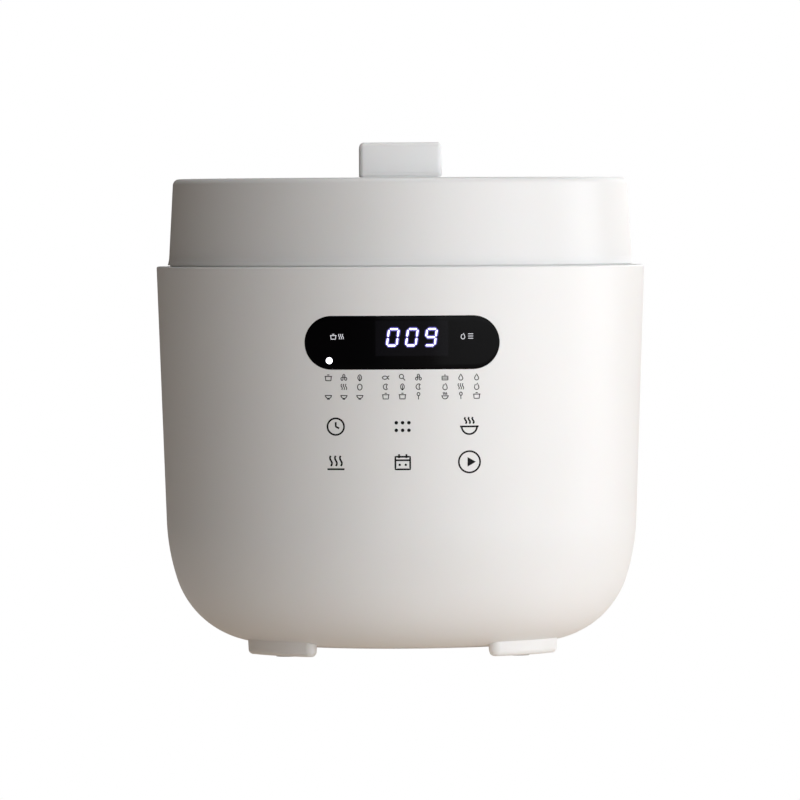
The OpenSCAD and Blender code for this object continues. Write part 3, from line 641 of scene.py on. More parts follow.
def make_feet():
    """Four feet whose tops end inside the body's wall."""
    bm = bmesh.new()
    levels = sorted((FOOT_Z + rise, inset) for inset, rise in quarter(FOOT_EDGE_R, 6))
    for mirror_x in (1, -1):
        for mirror_y in (1, -1):
            loop = foot_loop(mirror_x, mirror_y)
            rings = [[vert(bm, x, y, z) for x, y in offset_loop(loop, inset)] for z, inset in levels]
            flared = offset_loop(loop, -0.35)
            rings.append([vert(bm, x, y, outline_z(math.hypot(x, y)) + FOOT_SUNK) for x, y in flared])
            skin(bm, rings)
            bm.faces.new(list(reversed(rings[0])))
            x, y = (sum(values) / len(flared) for values in zip(*flared))
            bridge(bm, rings[-1], [vert(bm, x, y, outline_z(90) + FOOT_SUNK)])
    make("feet_set", bm, "base", MAT["body_white"], stands_for=["feet"])


# ---- what is laid on the body's wall ----

def on_wall(x, z, depth):
    """A point on the front wall at x and z, sunk below the surface by depth."""
    r = wall_r(z, depth)
    return (x, -math.sqrt(r * r - x * x), z)


WINDOW_ROLL = 0.5
WINDOW_BACK = 1.8


def window_columns(half_l, half_h, inset):
    """Pairs (x, half height) across a stadium that is moved inwards by inset, from right to left."""
    reach = half_l - half_h
    radius = half_h - inset
    turns = [math.radians(90 * k / 24) for k in range(25)]
    right = [(reach + radius * math.cos(a), radius * math.sin(a)) for a in turns]
    middle = [(reach - 2 * reach * k / 40, radius) for k in range(1, 40)]
    return right + middle + [(-x, h) for x, h in reversed(right)]


def make_window():
    """The glossy window: it follows the wall, with a rolled edge."""
    half_l = (LENS_HIGH.x - LENS_LOW.x) / 2
    half_h = (LENS_HIGH.z - LENS_LOW.z) / 2
    bm = bmesh.new()

    def face(inset, depth, rows=12):
        """One side of the window, in columns of quads that meet at its two ends."""
        columns = [[vert(bm, *on_wall(x, LENS_Z + h * (1 - 2 * k / rows), depth)) for k in range(rows + 1)]
                   for x, h in window_columns(half_l, half_h, inset)]
        columns[0] = columns[0][:1]
        columns[-1] = columns[-1][:1]
        for near, far in zip(columns, columns[1:]):
            bridge(bm, near, far, loop=False)
        return [c[0] for c in columns] + [c[-1] for c in reversed(columns[1:-1])]

    def ring(inset, depth):
        columns = window_columns(half_l, half_h, inset)
        upper = [vert(bm, *on_wall(x, LENS_Z + h, depth)) for x, h in columns]
        return upper + [vert(bm, *on_wall(x, LENS_Z - h, depth)) for x, h in reversed(columns[1:-1])]

    rings = [face(0.0, WINDOW_BACK)]
    rings += [ring(inset, depth) for depth, inset in quarter(WINDOW_ROLL, 5)[:-1]]
    rings.append(face(WINDOW_ROLL, 0.0))
    skin(bm, rings)
    make("display_window", bm, "base", MAT["window_black"], sharp=60,
                stands_for=["display_lens"], even=False)


def arc(x, z, r, start, end, steps=10, squeeze=1.0):
    """Points of an arc, anticlockwise from start to end degrees."""
    angles = [math.radians(start + (end - start) * k / steps) for k in range(steps + 1)]
    return [(x + r * math.cos(a), z + r * squeeze * math.sin(a)) for a in angles]


def line(*points, step=0.25):
    """A polyline with points added so that no part of it is longer than step."""
    out = [points[0]]
    for (x0, z0), (x1, z1) in zip(points, points[1:]):
        count = max(1, math.ceil(math.hypot(x1 - x0, z1 - z0) / step))
        out += [(x0 + (x1 - x0) * k / count, z0 + (z1 - z0) * k / count) for k in range(1, count + 1)]
    return out


PRINT_PROUD = 0.04
PRINT_SUNK = 0.12
# A printed line's four long edges: the side of its middle, and the depth below the wall's face
PRINT_EDGES = ((1, -PRINT_PROUD), (-1, -PRINT_PROUD), (-1, PRINT_SUNK), (1, PRINT_SUNK))


def stroke(bm, points, width, closed=False):
    """A printed line of even width on the wall, as a thin closed strip."""
    if closed and points[0] != points[-1] and math.dist(points[0], points[-1]) < 1e-6:
        points = points[:-1]
    count = len(points)
    rows = []
    for i, (x, z) in enumerate(points):
        if closed:
            before, after = points[i - 1], points[(i + 1) % count]
        else:
            before, after = points[max(i - 1, 0)], points[min(i + 1, count - 1)]
        along = Vector((after[0] - before[0], after[1] - before[1])).normalized()
        side = Vector((-along.y, along.x)) * width / 2
        rows.append([vert(bm, *on_wall(x + side.x * sign, z + side.y * sign, depth))
                     for sign, depth in PRINT_EDGES])
    skin(bm, rows, closed)
    if not closed:
        cap(bm, rows)


def patch(bm, loop, proud=PRINT_PROUD, sunk=PRINT_SUNK, rings=3):
    """A filled printed shape on the wall. The loop is convex."""
    cx = sum(p[0] for p in loop) / len(loop)
    cz = sum(p[1] for p in loop) / len(loop)
    fronts = []
    for k in range(rings, 0, -1):
        share = k / rings
        shrunk = [(cx + (x - cx) * share, cz + (z - cz) * share) for x, z in loop]
        fronts.append([vert(bm, *on_wall(x, z, -proud)) for x, z in shrunk])
    middle = [vert(bm, *on_wall(cx, cz, -proud))]
    back = [vert(bm, *on_wall(x, z, sunk)) for x, z in loop]
    skin(bm, [back, *fronts, middle])
    bridge(bm, [vert(bm, *on_wall(cx, cz, sunk))], back)


def open_line(*points, step=0.25):
    return "line", line(*points, step=step)


def round_line(x, z, r, steps, squeeze=1.0):
    return "loop", arc(x, z, r, 0, 360, steps, squeeze)[:-1]


def waves(xs, z, rise, count, sway, turn):
    """Upright wavy lines, as of steam."""
    return [("line", [(x + sway * math.sin(k * turn), z + rise * k) for k in range(count)]) for x in xs]


# Pictograms in a square from -1 to 1, as (form, shape)
GLYPHS = {
    "bowl": [open_line((-0.95, 0.15), (0.95, 0.15)), ("line", arc(0, 0.15, 0.8, 180, 360)),
             open_line((-0.35, -0.85), (0.35, -0.85))],
    "steam": waves((-0.6, 0, 0.6), -0.8, 0.27, 7, 0.18, 1.05),
    "pot": [open_line((-0.8, 0.3), (-0.7, -0.8), (0.7, -0.8), (0.8, 0.3)),
            open_line((-1, 0.35), (1, 0.35)), open_line((-0.3, 0.75), (0.3, 0.75))],
    "drop": [("loop", arc(0, -0.25, 0.55, 150, 390, 12) + [(0.22, 0.45), (0, 0.9), (-0.22, 0.45)])],
    "leaf": [("loop", arc(0.45, 0, 0.95, 125, 235, 8) + arc(-0.45, 0, 0.95, -55, 55, 8)),
             open_line((0, -0.95), (0, 0.4))],
    "grain": [round_line(x, z, 0.3, 10, 1.35) for x, z in ((-0.5, -0.3), (0.5, -0.3), (0, 0.5))],
    "egg": [round_line(0, -0.05, 0.62, 16, 1.3)],
    "fish": [("loop", arc(-0.2, 0, 0.7, 20, 340, 16, 0.62)), open_line((0.45, 0.1), (0.95, 0.5)),
             open_line((0.45, -0.1), (0.95, -0.5))],
    "leg": [round_line(-0.25, 0.3, 0.58, 14), open_line((0.15, -0.15), (0.75, -0.8))],
    "bars": [open_line((-0.8, z), (0.8, z)) for z in (-0.7, 0, 0.7)],
    "cake": [("loop", line((-0.8, -0.7), (0.8, -0.7), (0.8, 0.3), (-0.8, 0.3), (-0.8, -0.7))[:-1]),
             open_line((-0.8, -0.2), (0.8, -0.2)), open_line((0, 0.3), (0, 0.85))],
    "bean": [("loop", arc(0.1, 0, 0.75, 60, 300, 14) + [(0.2, -0.25), (0.2, 0.25)])],
    "flame": [("loop", arc(0, -0.3, 0.6, 180, 360, 10)
               + [(0.5, 0.2), (0.15, 0.9), (-0.1, 0.35), (-0.4, 0.55)])],
    "spoon": [round_line(0, 0.5, 0.38, 12, 1.15), open_line((0, 0.05), (0, -0.95))],
    "clock": [round_line(0, 0, 0.92, 28), open_line((0, 0.5), (0, 0), (0.38, -0.2), step=0.2)],
    "grid": [("disc", (x, z, 0.2)) for x in (-0.7, 0, 0.7) for z in (-0.42, 0.42)],
    "dish": [open_line((-1, -0.05), (1, -0.05)), ("line", arc(0, -0.05, 0.82, 180, 360, 14)),
             *waves((-0.4, 0, 0.4), 0.25, 0.14, 6, 0.1, 1.2)],
    "warm": [open_line((-0.95, -0.75), (0.95, -0.75)), *waves((-0.55, 0, 0.55), -0.4, 0.19, 7, 0.12, 1.0)],
    "calendar": [
        ("loop", line((-0.85, -0.8), (0.85, -0.8), (0.85, 0.65), (-0.85, 0.65), (-0.85, -0.8))[:-1]),
        open_line((-0.85, 0.25), (0.85, 0.25)), open_line((-0.42, 0.5), (-0.42, 0.95)),
        open_line((0.42, 0.5), (0.42, 0.95)), ("disc", (-0.35, -0.28, 0.14)), ("disc", (0.35, -0.28, 0.14))],
    "start": [round_line(0, 0, 1.0, 36), ("wedge", (0.08, 0, 0.52))],
}


def draw(bm, kind, x, z, size, width):
    """One pictogram centred at x and z; size is half its height."""
    for form, shape in GLYPHS[kind]:
        if form == "disc":
            patch(bm, [(x + p * size, z + q * size) for p, q in arc(*shape[:2], shape[2], 0, 360, 14)[:-1]])
        elif form == "wedge":
            cx, cz, r = shape
            corners = [(x + (cx + r * math.cos(a)) * size, z + (cz + r * math.sin(a)) * size)
                       for a in (0, 2 * math.pi / 3, -2 * math.pi / 3)]
            patch(bm, line(*corners, corners[0], step=0.8)[:-1])
        else:
            stroke(bm, [(x + p * size, z + q * size) for p, q in shape], width, closed=form == "loop")


FUNCTION_X = (-44.3, -35.0, -25.5, -10.0, 0.0, 9.6, 25.5, 35.0, 44.5)
FUNCTION_SIGNS = (
    ("pot", None, "bowl"), ("grain", "steam", "bowl"), ("leaf", "egg", "bowl"),
    ("fish", "bean", "pot"), ("leg", "leaf", "pot"), ("grain", "bean", "spoon"),
    ("cake", "flame", "dish"), ("drop", "steam", "spoon"), ("drop", "flame", "pot"),
)
FUNCTION_ROWS = (-20.9, -26.4, -31.9)
KEYS = (("clock", -40.0, -50.2, 5.4), ("grid", 0.0, -50.2, 5.4), ("dish", 40.0, -50.2, 5.6),
        ("warm", -40.0, -71.7, 5.4), ("calendar", 0.0, -71.7, 5.2), ("start", 40.0, -71.7, 6.4))


def make_prints():
    """The printed function signs and key signs below the window."""
    bm = bmesh.new()
    for x, column in zip(FUNCTION_X, FUNCTION_SIGNS):
        for kind, drop in zip(column, FUNCTION_ROWS):
            if kind:
                draw(bm, kind, x, LENS_Z + drop, 2.2, 0.52)
    make("function_signs", bm, "base", MAT["ink_grey"], even=False)
    bm = bmesh.new()
    for kind, x, drop, size in KEYS:
        draw(bm, kind, x, LENS_Z + drop, size, 1.05)
    make("key_signs", bm, "base", MAT["ink_black"], even=False)


# Seven-segment digits: each segment is (x0, z0, x1, z1) in a cell 1 wide and 2 high
SEGMENTS = {
    "a": (0, 2, 1, 2), "b": (1, 2, 1, 1), "c": (1, 1, 1, 0), "d": (0, 0, 1, 0),
    "e": (0, 0, 0, 1), "f": (0, 1, 0, 2), "g": (0, 1, 1, 1),
}
DIGITS = {"0": "abcdef", "9": "abcdfg"}
DIGIT_TEXT = "009"
DIGIT_W = 5.8
DIGIT_H = 9.8
DIGIT_PITCH = 11.4
DIGIT_X = -9.2
DIGIT_Z = -1.7
DIGIT_SLANT = math.tan(math.radians(8))
SEGMENT_T = 0.85


def segment_loop(x0, z0, x1, z1, thick):
    """A six-sided bar between two points, with pointed ends."""
    trim = 0.45
    along = Vector((x1 - x0, z1 - z0)).normalized()
    side = Vector((-along.y, along.x)) * thick / 2
    a = Vector((x0, z0)) + along * trim
    b = Vector((x1, z1)) - along * trim
    tip = along * thick / 2
    points = [a, a + tip - side, b - tip - side, b, b - tip + side, a + tip + side]
    return [(p.x, p.y) for p in points]


def make_digits():
    """The lit digits behind the window, each segment with a dim halo round it."""
    for name, grow, proud, material in (("display_digits", 0.0, 0.06, "lit_white"),
                                        ("display_halo", 0.75, 0.03, "lit_halo")):
        bm = bmesh.new()
        for i, digit in enumerate(DIGIT_TEXT):
            for key in DIGITS[digit]:
                x0, z0, x1, z1 = SEGMENTS[key]
                cell = [(x0 * DIGIT_W, z0 * DIGIT_H / 2), (x1 * DIGIT_W, z1 * DIGIT_H / 2)]
                loop = segment_loop(*cell[0], *cell[1], SEGMENT_T)
                if grow:
                    loop = grow_loop(loop, grow)
                placed = [(DIGIT_X + i * DIGIT_PITCH + x + z * DIGIT_SLANT, LENS_Z + DIGIT_Z + z)
                          for x, z in loop]
                patch(bm, placed, proud, 0.3, 2)
        make(name, bm, "base", MAT[material], even=False)
    bm = bmesh.new()
    patch(bm, arc(-43.7, LENS_Z - 10.7, 1.95, 0, 360, 24)[:-1], 0.06, 0.3, 3)
    make("display_dot", bm, "base", MAT["lit_white"], even=False)
    bm = bmesh.new()
    for x, kind in ((-41.2, "pot"), (-36.6, "steam"), (36.4, "flame"), (41.0, "bars")):
        draw(bm, kind, x, LENS_Z + 3.7, 1.9, 0.42)
    make("display_signs", bm, "base", MAT["lit_small"], even=False)


def grow_loop(loop, grow):
    """A convex loop moved outwards by a distance."""
    turning = sum(a[0] * b[1] - a[1] * b[0] for a, b in zip(loop, loop[1:] + loop[:1]))
    ordered = loop if turning > 0 else list(reversed(loop))
    return offset_loop(ordered, -grow)


# ---- lid ----

WELL_HALF_W = 40.0
WELL_R = 17.0
WELL_FLOOR = LID_TOP - 12.0
WELL_LIP_R = 1.3
WELL_FOOT_R = 2.2
BOSS_R = 11.0
BOSS_IN_R = 9.2
PIPE_HOLE_R = 5.4
LID_TURNS = 288


def lid_outer():
    """Lid's outline from the lower edge up to the flat top."""
    edge_z = LID_TOP - LID_EDGE_R
    top_r = LID_R - (edge_z - LID_BASE - 3.5) * LID_LEAN
    corners = [(LID_R + 0.5, LID_BASE), (LID_R + 0.9, LID_BASE, 0.3), (LID_R + 0.3, LID_BASE + 2.4, 4),
               (LID_R, LID_BASE + 4.5, 6), (top_r, LID_TOP, LID_EDGE_R), (top_r - LID_EDGE_R - 2, LID_TOP)]
    return rounded(corners, 10, closed=False), top_r


def ray_to_stadium(dx, dy, half_l, radius):
    """Distance from a stadium's centre to its edge along a direction."""
    reach = half_l - radius
    if abs(dy) > 1e-9 and abs(dx / dy) * radius <= reach:
        return radius / abs(dy)
    sign = 1 if dx > 0 else -1
    b = dx * sign * reach
    return b + math.sqrt(max(b * b - reach * reach + radius * radius, 0))


def make_lid():
    """The lid shell: side wall, flat top with the valve's well, and its inner face."""
    bm = bmesh.new()
    outer, top_r = lid_outer()
    rings = [circle(bm, r, z, LID_TURNS) for r, z in outer]
    last_r = outer[-1][0]
    directions = []
    for i in range(LID_TURNS):
        a = 2 * math.pi * i / LID_TURNS
        d = Vector((last_r * math.cos(a), last_r * math.sin(a) - VALVE_Y)).normalized()
        directions.append(d)

    def well_ring(grow, z):
        ring = []
        for d in directions:
            reach = ray_to_stadium(d.x, d.y, WELL_HALF_W + grow, WELL_R + grow)
            ring.append(vert(bm, d.x * reach, VALVE_Y + d.y * reach, z))
        return ring

    def round_ring(radius, z):
        return [vert(bm, d.x * radius, VALVE_Y + d.y * radius, z) for d in directions]

    rings += [well_ring(grow, LID_TOP - drop) for grow, drop in quarter(WELL_LIP_R, 5)]
    rings += [well_ring(-inset, WELL_FLOOR + rise) for rise, inset in quarter(WELL_FOOT_R, 5)]
    # the boss round the vent, its recess and the hole for the vent pipe: radius, and height above the floor
    boss = ((BOSS_R + 0.6, 0), (BOSS_R, 0.6), (BOSS_R, 3.6), (BOSS_R - 0.4, 4), (BOSS_IN_R + 0.4, 4),
            (BOSS_IN_R, 3.6), (BOSS_IN_R, 1), (PIPE_HOLE_R, 1), (PIPE_HOLE_R, -LID_T))
    rings += [round_ring(radius, WELL_FLOOR + rise) for radius, rise in boss]
    under = WELL_FLOOR - LID_T
    rings += [well_ring(LID_T - 1.5, under), well_ring(LID_T, under + 1.5), well_ring(LID_T, LID_TOP - LID_T)]
    inner_top = LID_TOP - LID_T
    lip_r = LID_R - 0.5
    inside = ((top_r - LID_EDGE_R, inner_top), (top_r - LID_T - 0.9, LID_TOP - LID_EDGE_R + 2),
              (top_r - LID_T, LID_TOP - LID_EDGE_R), (LID_R - LID_T, LID_BASE + 4),
              (LID_R - LID_T, LID_BASE - 0.9), (lip_r - 0.2, LID_BASE - 0.9), (lip_r, LID_BASE - 0.7),
              (lip_r, LID_BASE - 0.05))
    rings += [circle(bm, r, z, LID_TURNS) for r, z in inside]
    skin(bm, rings, closed=True)
    # the lid's material carries painted shade: a darker tone than the body's white
    piece = make("lid_cover", bm, "lid", MAT["lid_white"], stands_for=["lid_shell"])
    pin = lathe([(0, WELL_FLOOR - 5), (3.6, WELL_FLOOR - 5), (3.6, WELL_FLOOR + 2), (0, WELL_FLOOR + 2)], 40,
                (FLOAT_AT.x, FLOAT_AT.y))
    cut(piece, pin)


def make_handle():
    """The bar handle: a plinth on the lid, a seam, and the grip."""
    half_w = (HANDLE_HIGH.x - HANDLE_LOW.x) / 2
    half_l = (HANDLE_HIGH.y - HANDLE_LOW.y) / 2
    corner = 3.2
    bow = 1.4
    front = [(-half_w + 2 * half_w * k / 8, -half_l + bow * (2 * k / 8 - 1) ** 2) for k in range(9)]
    back = [(-x, -y) for x, y in front]
    points = [(*front[0], corner)] + front[1:-1] + [(*front[-1], corner)]
    points += [(*back[0], corner)] + back[1:-1] + [(*back[-1], corner)]
    plan = rounded(points, 8)
    cover = loft(plan, edge_levels(HANDLE_LOW.z, HANDLE_HIGH.z, 0.35, 2.9, 7))
    grip = make("handle_grip", cover, "lid", MAT["handle_white"], stands_for=["handle_cover"])
    groove_z = HANDLE_LOW.z + 7
    for s in (-1, 1):
        bm = bmesh.new()
        ring_points = stadium_loop(55, 4.4, (0, groove_z), 16)
        rings = []
        for depth, inset in ((-2.0, -1.2), (0.0, -0.35), (0.35, 0.0), (1.6, 0.0), (2.1, 0.25), (2.4, 0.9)):
            rings.append([vert(bm, s * (half_w - depth), y, z) for y, z in offset_loop(ring_points, inset)])
        skin(bm, rings)
        cap(bm, rings)
        cut(grip, bm)
    z0 = HANDLE_BASE_LOW.z
    bm = loft(plan, edge_levels(z0 + 1.2, z0 + 3.2, 0.3, 0.3, 3))
    loft(offset_loop(plan, 0.8), [(z0, 0), (z0 + 1.3, 0)], bm)
    loft(offset_loop(plan, 2.4), [(z0 + 3.1, 0), (z0 + 3.75, 0)], bm)
    make("handle_plinth", bm, "lid", MAT["handle_white"], stands_for=["handle_base"])


# ---- valve, screws and springs ----

def make_valve():
    """The valve knob: fluted side, grip bar across its top, and its hollow underside."""
    r = 14.5
    z0, z1 = KNOB_LOW.z, LID_TOP + 16
    flutes = 18

    def fluted(a, radius, z):
        if radius < r - 2 or z < z0 + 6 or z > z1 - 3:
            return radius
        return radius - 0.45 * max(0.0, math.cos(a * flutes)) ** 2

    outline = rounded([(11.5, z0, 0.3), (r, z0, 0.6), (r, z0 + 5.5, 0.3), (r, z0 + 7, 0.3),
                       (r, z1 - 3.2, 0.4), (r, z1, 1.8), (0, z1), (0, z1 - 3), (9.2, z1 - 3, 0.4),
                       (9.2, z0 + 3, 0.3), (11.5, z0 + 3, 0.3)], 5)
    bm = lathe(outline, 144, (0, VALVE_Y), wave=fluted)
    bar = stadium_loop(11.6, 3.0, (0, 0), 16)
    loft([(-y, x + VALVE_Y) for x, y in bar], edge_levels(z1 - 1, KNOB_HIGH.z, 0.01, 1.2, 5), bm)
    make("valve_grip", bm, "valve", MAT["handle_white"], stands_for=["valve_knob"])


def screw_head(bm, x, y, z, r, h, shaft_r, shaft_l):
    """A pan-head screw with a cross recess, driven in from below."""
    def cross(a, radius, height):
        return radius * (0.62 + 0.38 * math.cos(4 * a)) if radius < r * 0.62 else radius

    outline = [(0, h - 0.55 * h), (r * 0.22, h - 0.55 * h), (r * 0.55, h * 0.97), (r * 0.6, h),
               (r * 0.8, h * 0.92), (r * 0.95, h * 0.6), (r, h * 0.25), (r, 0), (shaft_r, 0),
               (shaft_r, -shaft_l + 1.5), (shaft_r * 0.4, -shaft_l), (0, -shaft_l)]
    lathe([(p, z - q) for p, q in outline], 32, (x, y), bm, cross)


def make_screws():
    """Screws with real heads in place of the CAD's plain ones."""
    # name, node, body; how many, the first one's angle and the circle's radius;
    # then the head's radius and height, and the shaft's radius and length
    sets = (
        ("base_screw_set", "base_screws", "base", 3, 0, 58.0, 3.3, 1.8, 1.9, 14),
        ("lid_screw_set", "lid_screws", "lid", 6, 45, RIM_R - 19.5, 2.8, 1.5, 1.45, 14),
        ("collar_screw_set", "collar_screws", "base", 6, 15, RIM_R - 6.1, 2.4, 2.0, 1.45, 8),
    )
    for name, node, body, count, first, radius, r, h, shaft_r, shaft_l in sets:
        bm = bmesh.new()
        seat = box_mm(node)[0].z + h
        for i in range(count):
            a = math.radians(first + i * 360 / count)
            screw_head(bm, radius * math.cos(a), radius * math.sin(a), seat, r, h, shaft_r, shaft_l)
        make(name, bm, body, MAT["zinc_steel"], stands_for=[node])
    bm = bmesh.new()
    seat = box_mm("handle_screws")[0].z + 2.2
    for x in (-15, 15):
        for y in (-55, 55):
            screw_head(bm, x, y, seat, 3.6, 2.2, 1.9, 17)
    make("handle_screw_set", bm, "lid", MAT["zinc_steel"], stands_for=["handle_screws"])


def coil(bm, place_point, length, radius, wire, turns):
    """A wound spring along its own axis. place_point(x, y, along) gives a point in the frame."""
    steps = int(turns * 20)
    sides = 8
    rings = []
    for i in range(steps + 1):
        t = i / steps
        a = 2 * math.pi * turns * t
        along = wire + (length - 2 * wire) * t
        centre = Vector((radius * math.cos(a), radius * math.sin(a), along))
        out = Vector((math.cos(a), math.sin(a), 0))
        ring = []
        for k in range(sides):
            b = 2 * math.pi * k / sides
            p = centre + out * wire * math.cos(b) + Vector((0, 0, wire * math.sin(b)))
            ring.append(vert(bm, *place_point(p.x, p.y, p.z)))
        rings.append(ring)
    skin(bm, rings)
    cap(bm, rings)


SLIDER_ANGLE = 75.5


def make_springs():
    """Wound springs under the sensor, behind the keys and on the interlock."""
    low, high = box_mm("sensor_spring")
    bm = bmesh.new()
    coil(bm, lambda x, y, s: (x, y, low.z + s), high.z - low.z, 6.35, 0.5, 6)
    piece = make("sensor_spring_coil", bm, "base", MAT["zinc_steel"], stands_for=["sensor_spring"])
    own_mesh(piece)

    out_x = math.cos(math.radians(SLIDER_ANGLE))
    out_y = math.sin(math.radians(SLIDER_ANGLE))
    start, length = 61.5, 12.5
    z = sum(c.z for c in box_mm("interlock_spring")) / 2
    bm = bmesh.new()
    coil(bm, lambda x, y, s: ((start + s) * out_x - y * out_y, (start + s) * out_y + y * out_x, z + x),
         length, 2.3, 0.4, 7)
    piece = make("interlock_spring_coil", bm, "lid", MAT["zinc_steel"],
                 stands_for=["interlock_spring"])
    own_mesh(piece)

    board = box_mm("touch_springs")[1].y
    bm = bmesh.new()
    for kx in (-40, 0, 40):
        for kz in (LENS_Z - 50.2, LENS_Z - 71.7):
            reach = board + math.sqrt((wall_r(kz - 6, SHELL_T) - 0.3) ** 2 - (abs(kx) + 6) ** 2)
            coil(bm, lambda x, y, s, kx=kx, kz=kz: (kx + x, board - s, kz + y), reach, 5.2, 0.4, 4)
    make("touch_spring_coils", bm, "base", MAT["zinc_steel"], stands_for=["touch_springs"])


# ---- pot ----

def make_pot():
    """The lift-out pot: coated inside, spun metal outside, with level lines on its wall."""
    r_out = POT_HIGH.x if POT_HIGH.x < 115 else 111.5
    z0, z1 = POT_LOW.z, POT_HIGH.z
    flange = 118.0
    outside = rounded([(0, z0), (r_out, z0, 8), (r_out, z1 - 2, 0.8), (flange, z1 - 2, 0.9),
                       (flange, z1, 0.9), (flange - 3, z1)], 10, closed=False)
    wall = r_out - 1.5
    corners = [(flange - 3, z1), (wall, z1, 1.4), (wall, z0 + 1.5, 7), (0, z0 + 1.5)]
    inside = rounded(corners, 10, closed=False)
    piece = make("cooking_pot", lathe(outside + inside[1:], 192), "pot", MAT["pot_coating"],
                 stands_for=["inner_pot"])
    piece.data.materials.append(MAT["pot_outside"])
    for face in piece.data.polygons:
        middle = face.center / MM
        if math.hypot(middle.x, middle.y) > r_out - 0.6 or middle.z < z0 + 1.0:
            face.material_index = 1
    bm = bmesh.new()
    for level in range(5):
        z = z0 + 40 + level * 22
        for a0 in (70, 250):
            points = [math.radians(a0 + k * 2) for k in range(4 if level % 2 else 6)]
            rows = [[vert(bm, (wall + d) * math.cos(a), (wall + d) * math.sin(a), z + dz)
                     for d, dz in ((0.2, -0.5), (-0.25, -0.4), (-0.25, 0.4), (0.2, 0.5))] for a in points]
            skin(bm, rows)
            cap(bm, rows)
    make("pot_level_lines", bm, "pot", MAT["pot_outside"])


# ---- CAD nodes that stay ----

# For each material, the CAD nodes whose own shapes are shown, with the width of their softened edges
DRESSED = {
    "body_white": {"base_plate": 0.25},
    "inner_white": {"top_collar": 0.3, "cup_holder": 0.2, "drip_cup": 0.35, "lid_liner": 0.3,
                    "interlock_slider": 0.3},
    "steel": {"lock_ring": 0.3, "liner": 0.2, "inlet_pins": 0.2, "lid_plate": 0.3, "lid_stud": 0.3,
              "vent_pipe": 0.2, "anti_clog_cap": 0.15, "valve_weight": 0.5, "float_guide": 0.2},
    "zinc_steel": {"heater_tube": 0.2, "heater_mounts": 0.3, "sensor_bracket": 0.2, "chassis_posts": 0.3,
                   "stud_nut": 0.3, "vent_nut": 0.3, "interlock_bracket": 0.1},
    "cast_aluminium": {"heater_plate": 0.5, "sensor_cap": 0.6, "inner_lid_plate": 0.3},
    "dark_plastic": {"board_bracket": 0.3, "led_display": 0.3, "inlet_housing": 0.4},
    "ivory_plastic": {"thermal_fuse": 0.3, "pressure_switch": 0.4},
    "silicone": {"inner_lid_grommet": 0.4, "sealing_ring": 0.8, "float_seal": 0.2},
    "pcb_green": {"control_board": 0.1, "power_board": 0.15},
    "felt": {"insulation": 0.6}, "pad_rubber": {"foot_pads": 0.3}, "relay_blue": {"relay": 0.5},
    "coil_tape": {"transformer": 0.4}, "float_red": {"float_pin": 0.5},
}


def dress_cad_nodes():
    """Materials and softened edges for the CAD nodes whose own shapes are shown."""
    shown = [(material, *row) for material, nodes in DRESSED.items() for row in nodes.items()]
    for material, node, width in shown:
        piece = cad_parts[node]
        piece.data.materials.clear()
        piece.data.materials.append(MAT[material])
        weld = piece.modifiers.new("weld", "WELD")
        weld.merge_threshold = 0.002 * MM
        soften(piece, width, 40)
        piece.modifiers.new("even_shading", "WEIGHTED_NORMAL")


# ---- stage ----

def soft_light(name, at, size, energy, colour):
    data = bpy.data.lights.new(name, "AREA")
    data.shape = "RECTANGLE"
    data.size, data.size_y = size
    data.energy = energy
    data.color = colour
    lamp = bpy.data.objects.new(name, data)
    lamp.location = at
    bpy.context.scene.collection.objects.link(lamp)
    lamp.rotation_euler = (LIGHT_AIM - lamp.location).to_track_quat("-Z", "Y").to_euler()


# Each light: name, azimuth from the front towards the right, elevation, distance in metres, size in metres,
# the brightness that it gives a white surface facing it, and its colour
LIGHTS = (
    ("key_light", 45, 9, 2.0, (2.2, 1.0), 0.53, (0.965, 1.0, 1.045)),
    ("front_light", 5, 12, 2.2, (1.2, 1.0), 0.13, (0.97, 1.0, 1.035)),
    ("side_light", 100, 6, 2.0, (1.0, 1.0), 0.25, (0.965, 1.0, 1.045)),
    ("top_light", 60, 82, 2.0, (1.4, 1.4), 0.42, (1.0, 1.0, 1.0)),
    ("back_light", 150, 20, 2.0, (1.6, 1.3), 0.25, (1.0, 1.0, 1.0)),
)
LIGHT_AIM = Vector((0, 0, 0.16))
AMBIENT = 0.06
FLOOR_REACH = 12.0
FLOOR_TONE = 0.4
FLOOR_GLOW = (0.11, 0.44)
FLOOR_GLOW_REACH = 0.35
AMBIENT_COLOUR = (1.20, 1.0, 0.82)


def make_stage():
    """Pale floor, an even pale surround, and soft lights with the key on the right."""
    bm = bmesh.new()
    corners = ((-1, -1), (1, -1), (1, 1), (-1, 1))
    bm.faces.new([bm.verts.new((x * FLOOR_REACH, y * FLOOR_REACH, 0)) for x, y in corners])
    mesh = bpy.data.meshes.new("floor")
    bm.to_mesh(mesh)
    bm.free()
    floor = bpy.data.objects.new("floor", mesh)
    bpy.context.scene.collection.objects.link(floor)
    mesh.materials.append(white_to_the_eye("floor_white", FLOOR_TONE, FLOOR_GLOW))
    world = bpy.data.worlds.new("surround")
    world.use_nodes = True
    tree = world.node_tree
    ambient = tree.nodes["Background"]
    ambient.inputs["Color"].default_value = (*AMBIENT_COLOUR, 1)
    ambient.inputs["Strength"].default_value = AMBIENT
    seen = tree.nodes.new("ShaderNodeBackground")
    seen.inputs["Color"].default_value = (1, 1, 1, 1)
    seen.inputs["Strength"].default_value = 1.0
    show_to_camera(tree, ambient.outputs["Background"], seen.outputs["Background"],
                   tree.nodes["World Output"].inputs["Surface"])
    bpy.context.scene.world = world
    for name, azimuth, elevation, distance, size, strength, colour in LIGHTS:
        a, e = math.radians(azimuth), math.radians(elevation)
        at = (distance * math.cos(e) * math.sin(a), -distance * math.cos(e) * math.cos(a),
              distance * math.sin(e) + LIGHT_AIM.z)
        soft_light(name, at, size, strength * math.pi ** 2 * distance ** 2, colour)


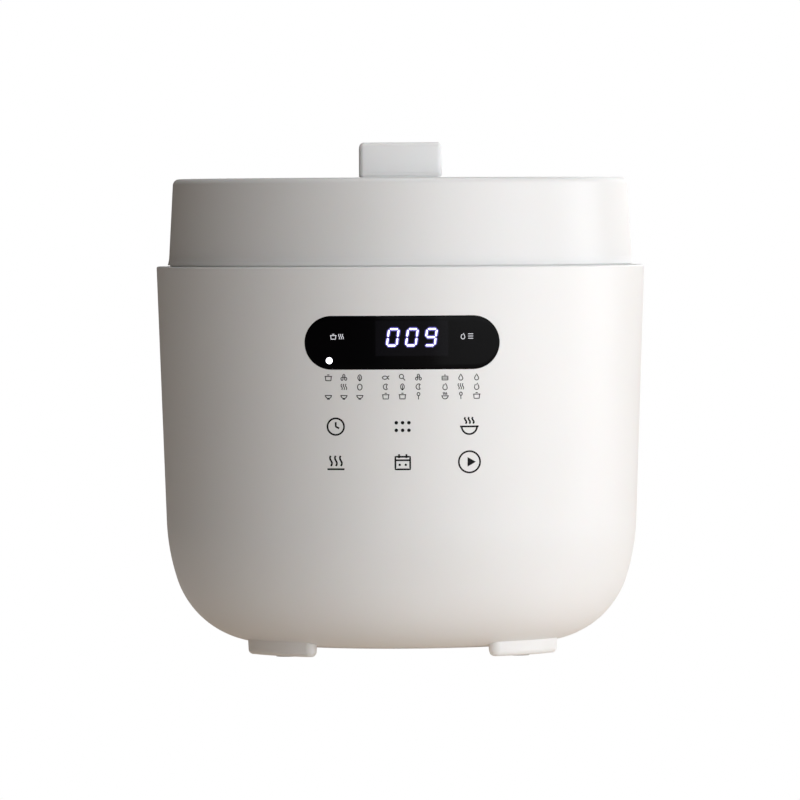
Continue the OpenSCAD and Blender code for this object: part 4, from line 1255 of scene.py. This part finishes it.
def show_to_camera(tree, other, camera, output):
    """Sends one shader to the camera and another to every other ray."""
    path = tree.nodes.new("ShaderNodeLightPath")
    mix = tree.nodes.new("ShaderNodeMixShader")
    tree.links.new(path.outputs["Is Camera Ray"], mix.inputs["Fac"])
    tree.links.new(other, mix.inputs[1])
    tree.links.new(camera, mix.inputs[2])
    tree.links.new(mix.outputs["Shader"], output)


def white_to_the_eye(name, tone, glow):
    """A pale matt floor, brighter on the right, that is seen as even white. Its glow lights the underside."""
    material, tree, shader = new_material(name)
    shader.inputs["Base Color"].default_value = (tone, tone, tone, 1)
    shader.inputs["Roughness"].default_value = 0.9
    shader.inputs["Emission Color"].default_value = (*AMBIENT_COLOUR, 1)
    coords = tree.nodes.new("ShaderNodeTexCoord")
    split = tree.nodes.new("ShaderNodeSeparateXYZ")
    tree.links.new(coords.outputs["Object"], split.inputs["Vector"])
    tree.links.new(spread(tree, split.outputs["X"], *glow, -FLOOR_GLOW_REACH, FLOOR_GLOW_REACH),
                   shader.inputs["Emission Strength"])
    white = tree.nodes.new("ShaderNodeEmission")
    white.inputs["Color"].default_value = (1, 1, 1, 1)
    show_to_camera(tree, shader.outputs["BSDF"], white.outputs["Emission"],
                   tree.nodes["Material Output"].inputs["Surface"])
    return material


CAMERA_LENS = 375
CAMERA_DISTANCE = 5.13
CAMERA_HEIGHT = 0.269
CAMERA_AZIMUTH = math.radians(-0.35)
CAMERA_ROLL = math.radians(-0.28)
CAMERA_AIM = Vector((-0.0006, 0, 0.1543))


def make_camera():
    """A long lens almost square to the front. Its place is in metres."""
    data = bpy.data.cameras.new("camera")
    data.lens = CAMERA_LENS
    data.sensor_width = 36
    data.clip_start = 0.1
    data.clip_end = 60
    camera = bpy.data.objects.new("camera", data)
    bpy.context.scene.collection.objects.link(camera)
    camera.location = (CAMERA_DISTANCE * math.sin(CAMERA_AZIMUTH),
                       -CAMERA_DISTANCE * math.cos(CAMERA_AZIMUTH), CAMERA_HEIGHT)
    turn = (CAMERA_AIM - camera.location).to_track_quat("-Z", "Y")
    camera.rotation_mode = "QUATERNION"
    camera.rotation_quaternion = turn @ Quaternion((0, 0, 1), CAMERA_ROLL)
    bpy.context.scene.camera = camera


make_camera()
make_body()
make_feet()
make_window()
make_prints()
make_digits()
make_lid()
make_handle()
make_valve()
make_screws()
make_springs()
make_pot()
dress_cad_nodes()
make_stage()
bpy.context.scene.view_settings.view_transform = "Standard"
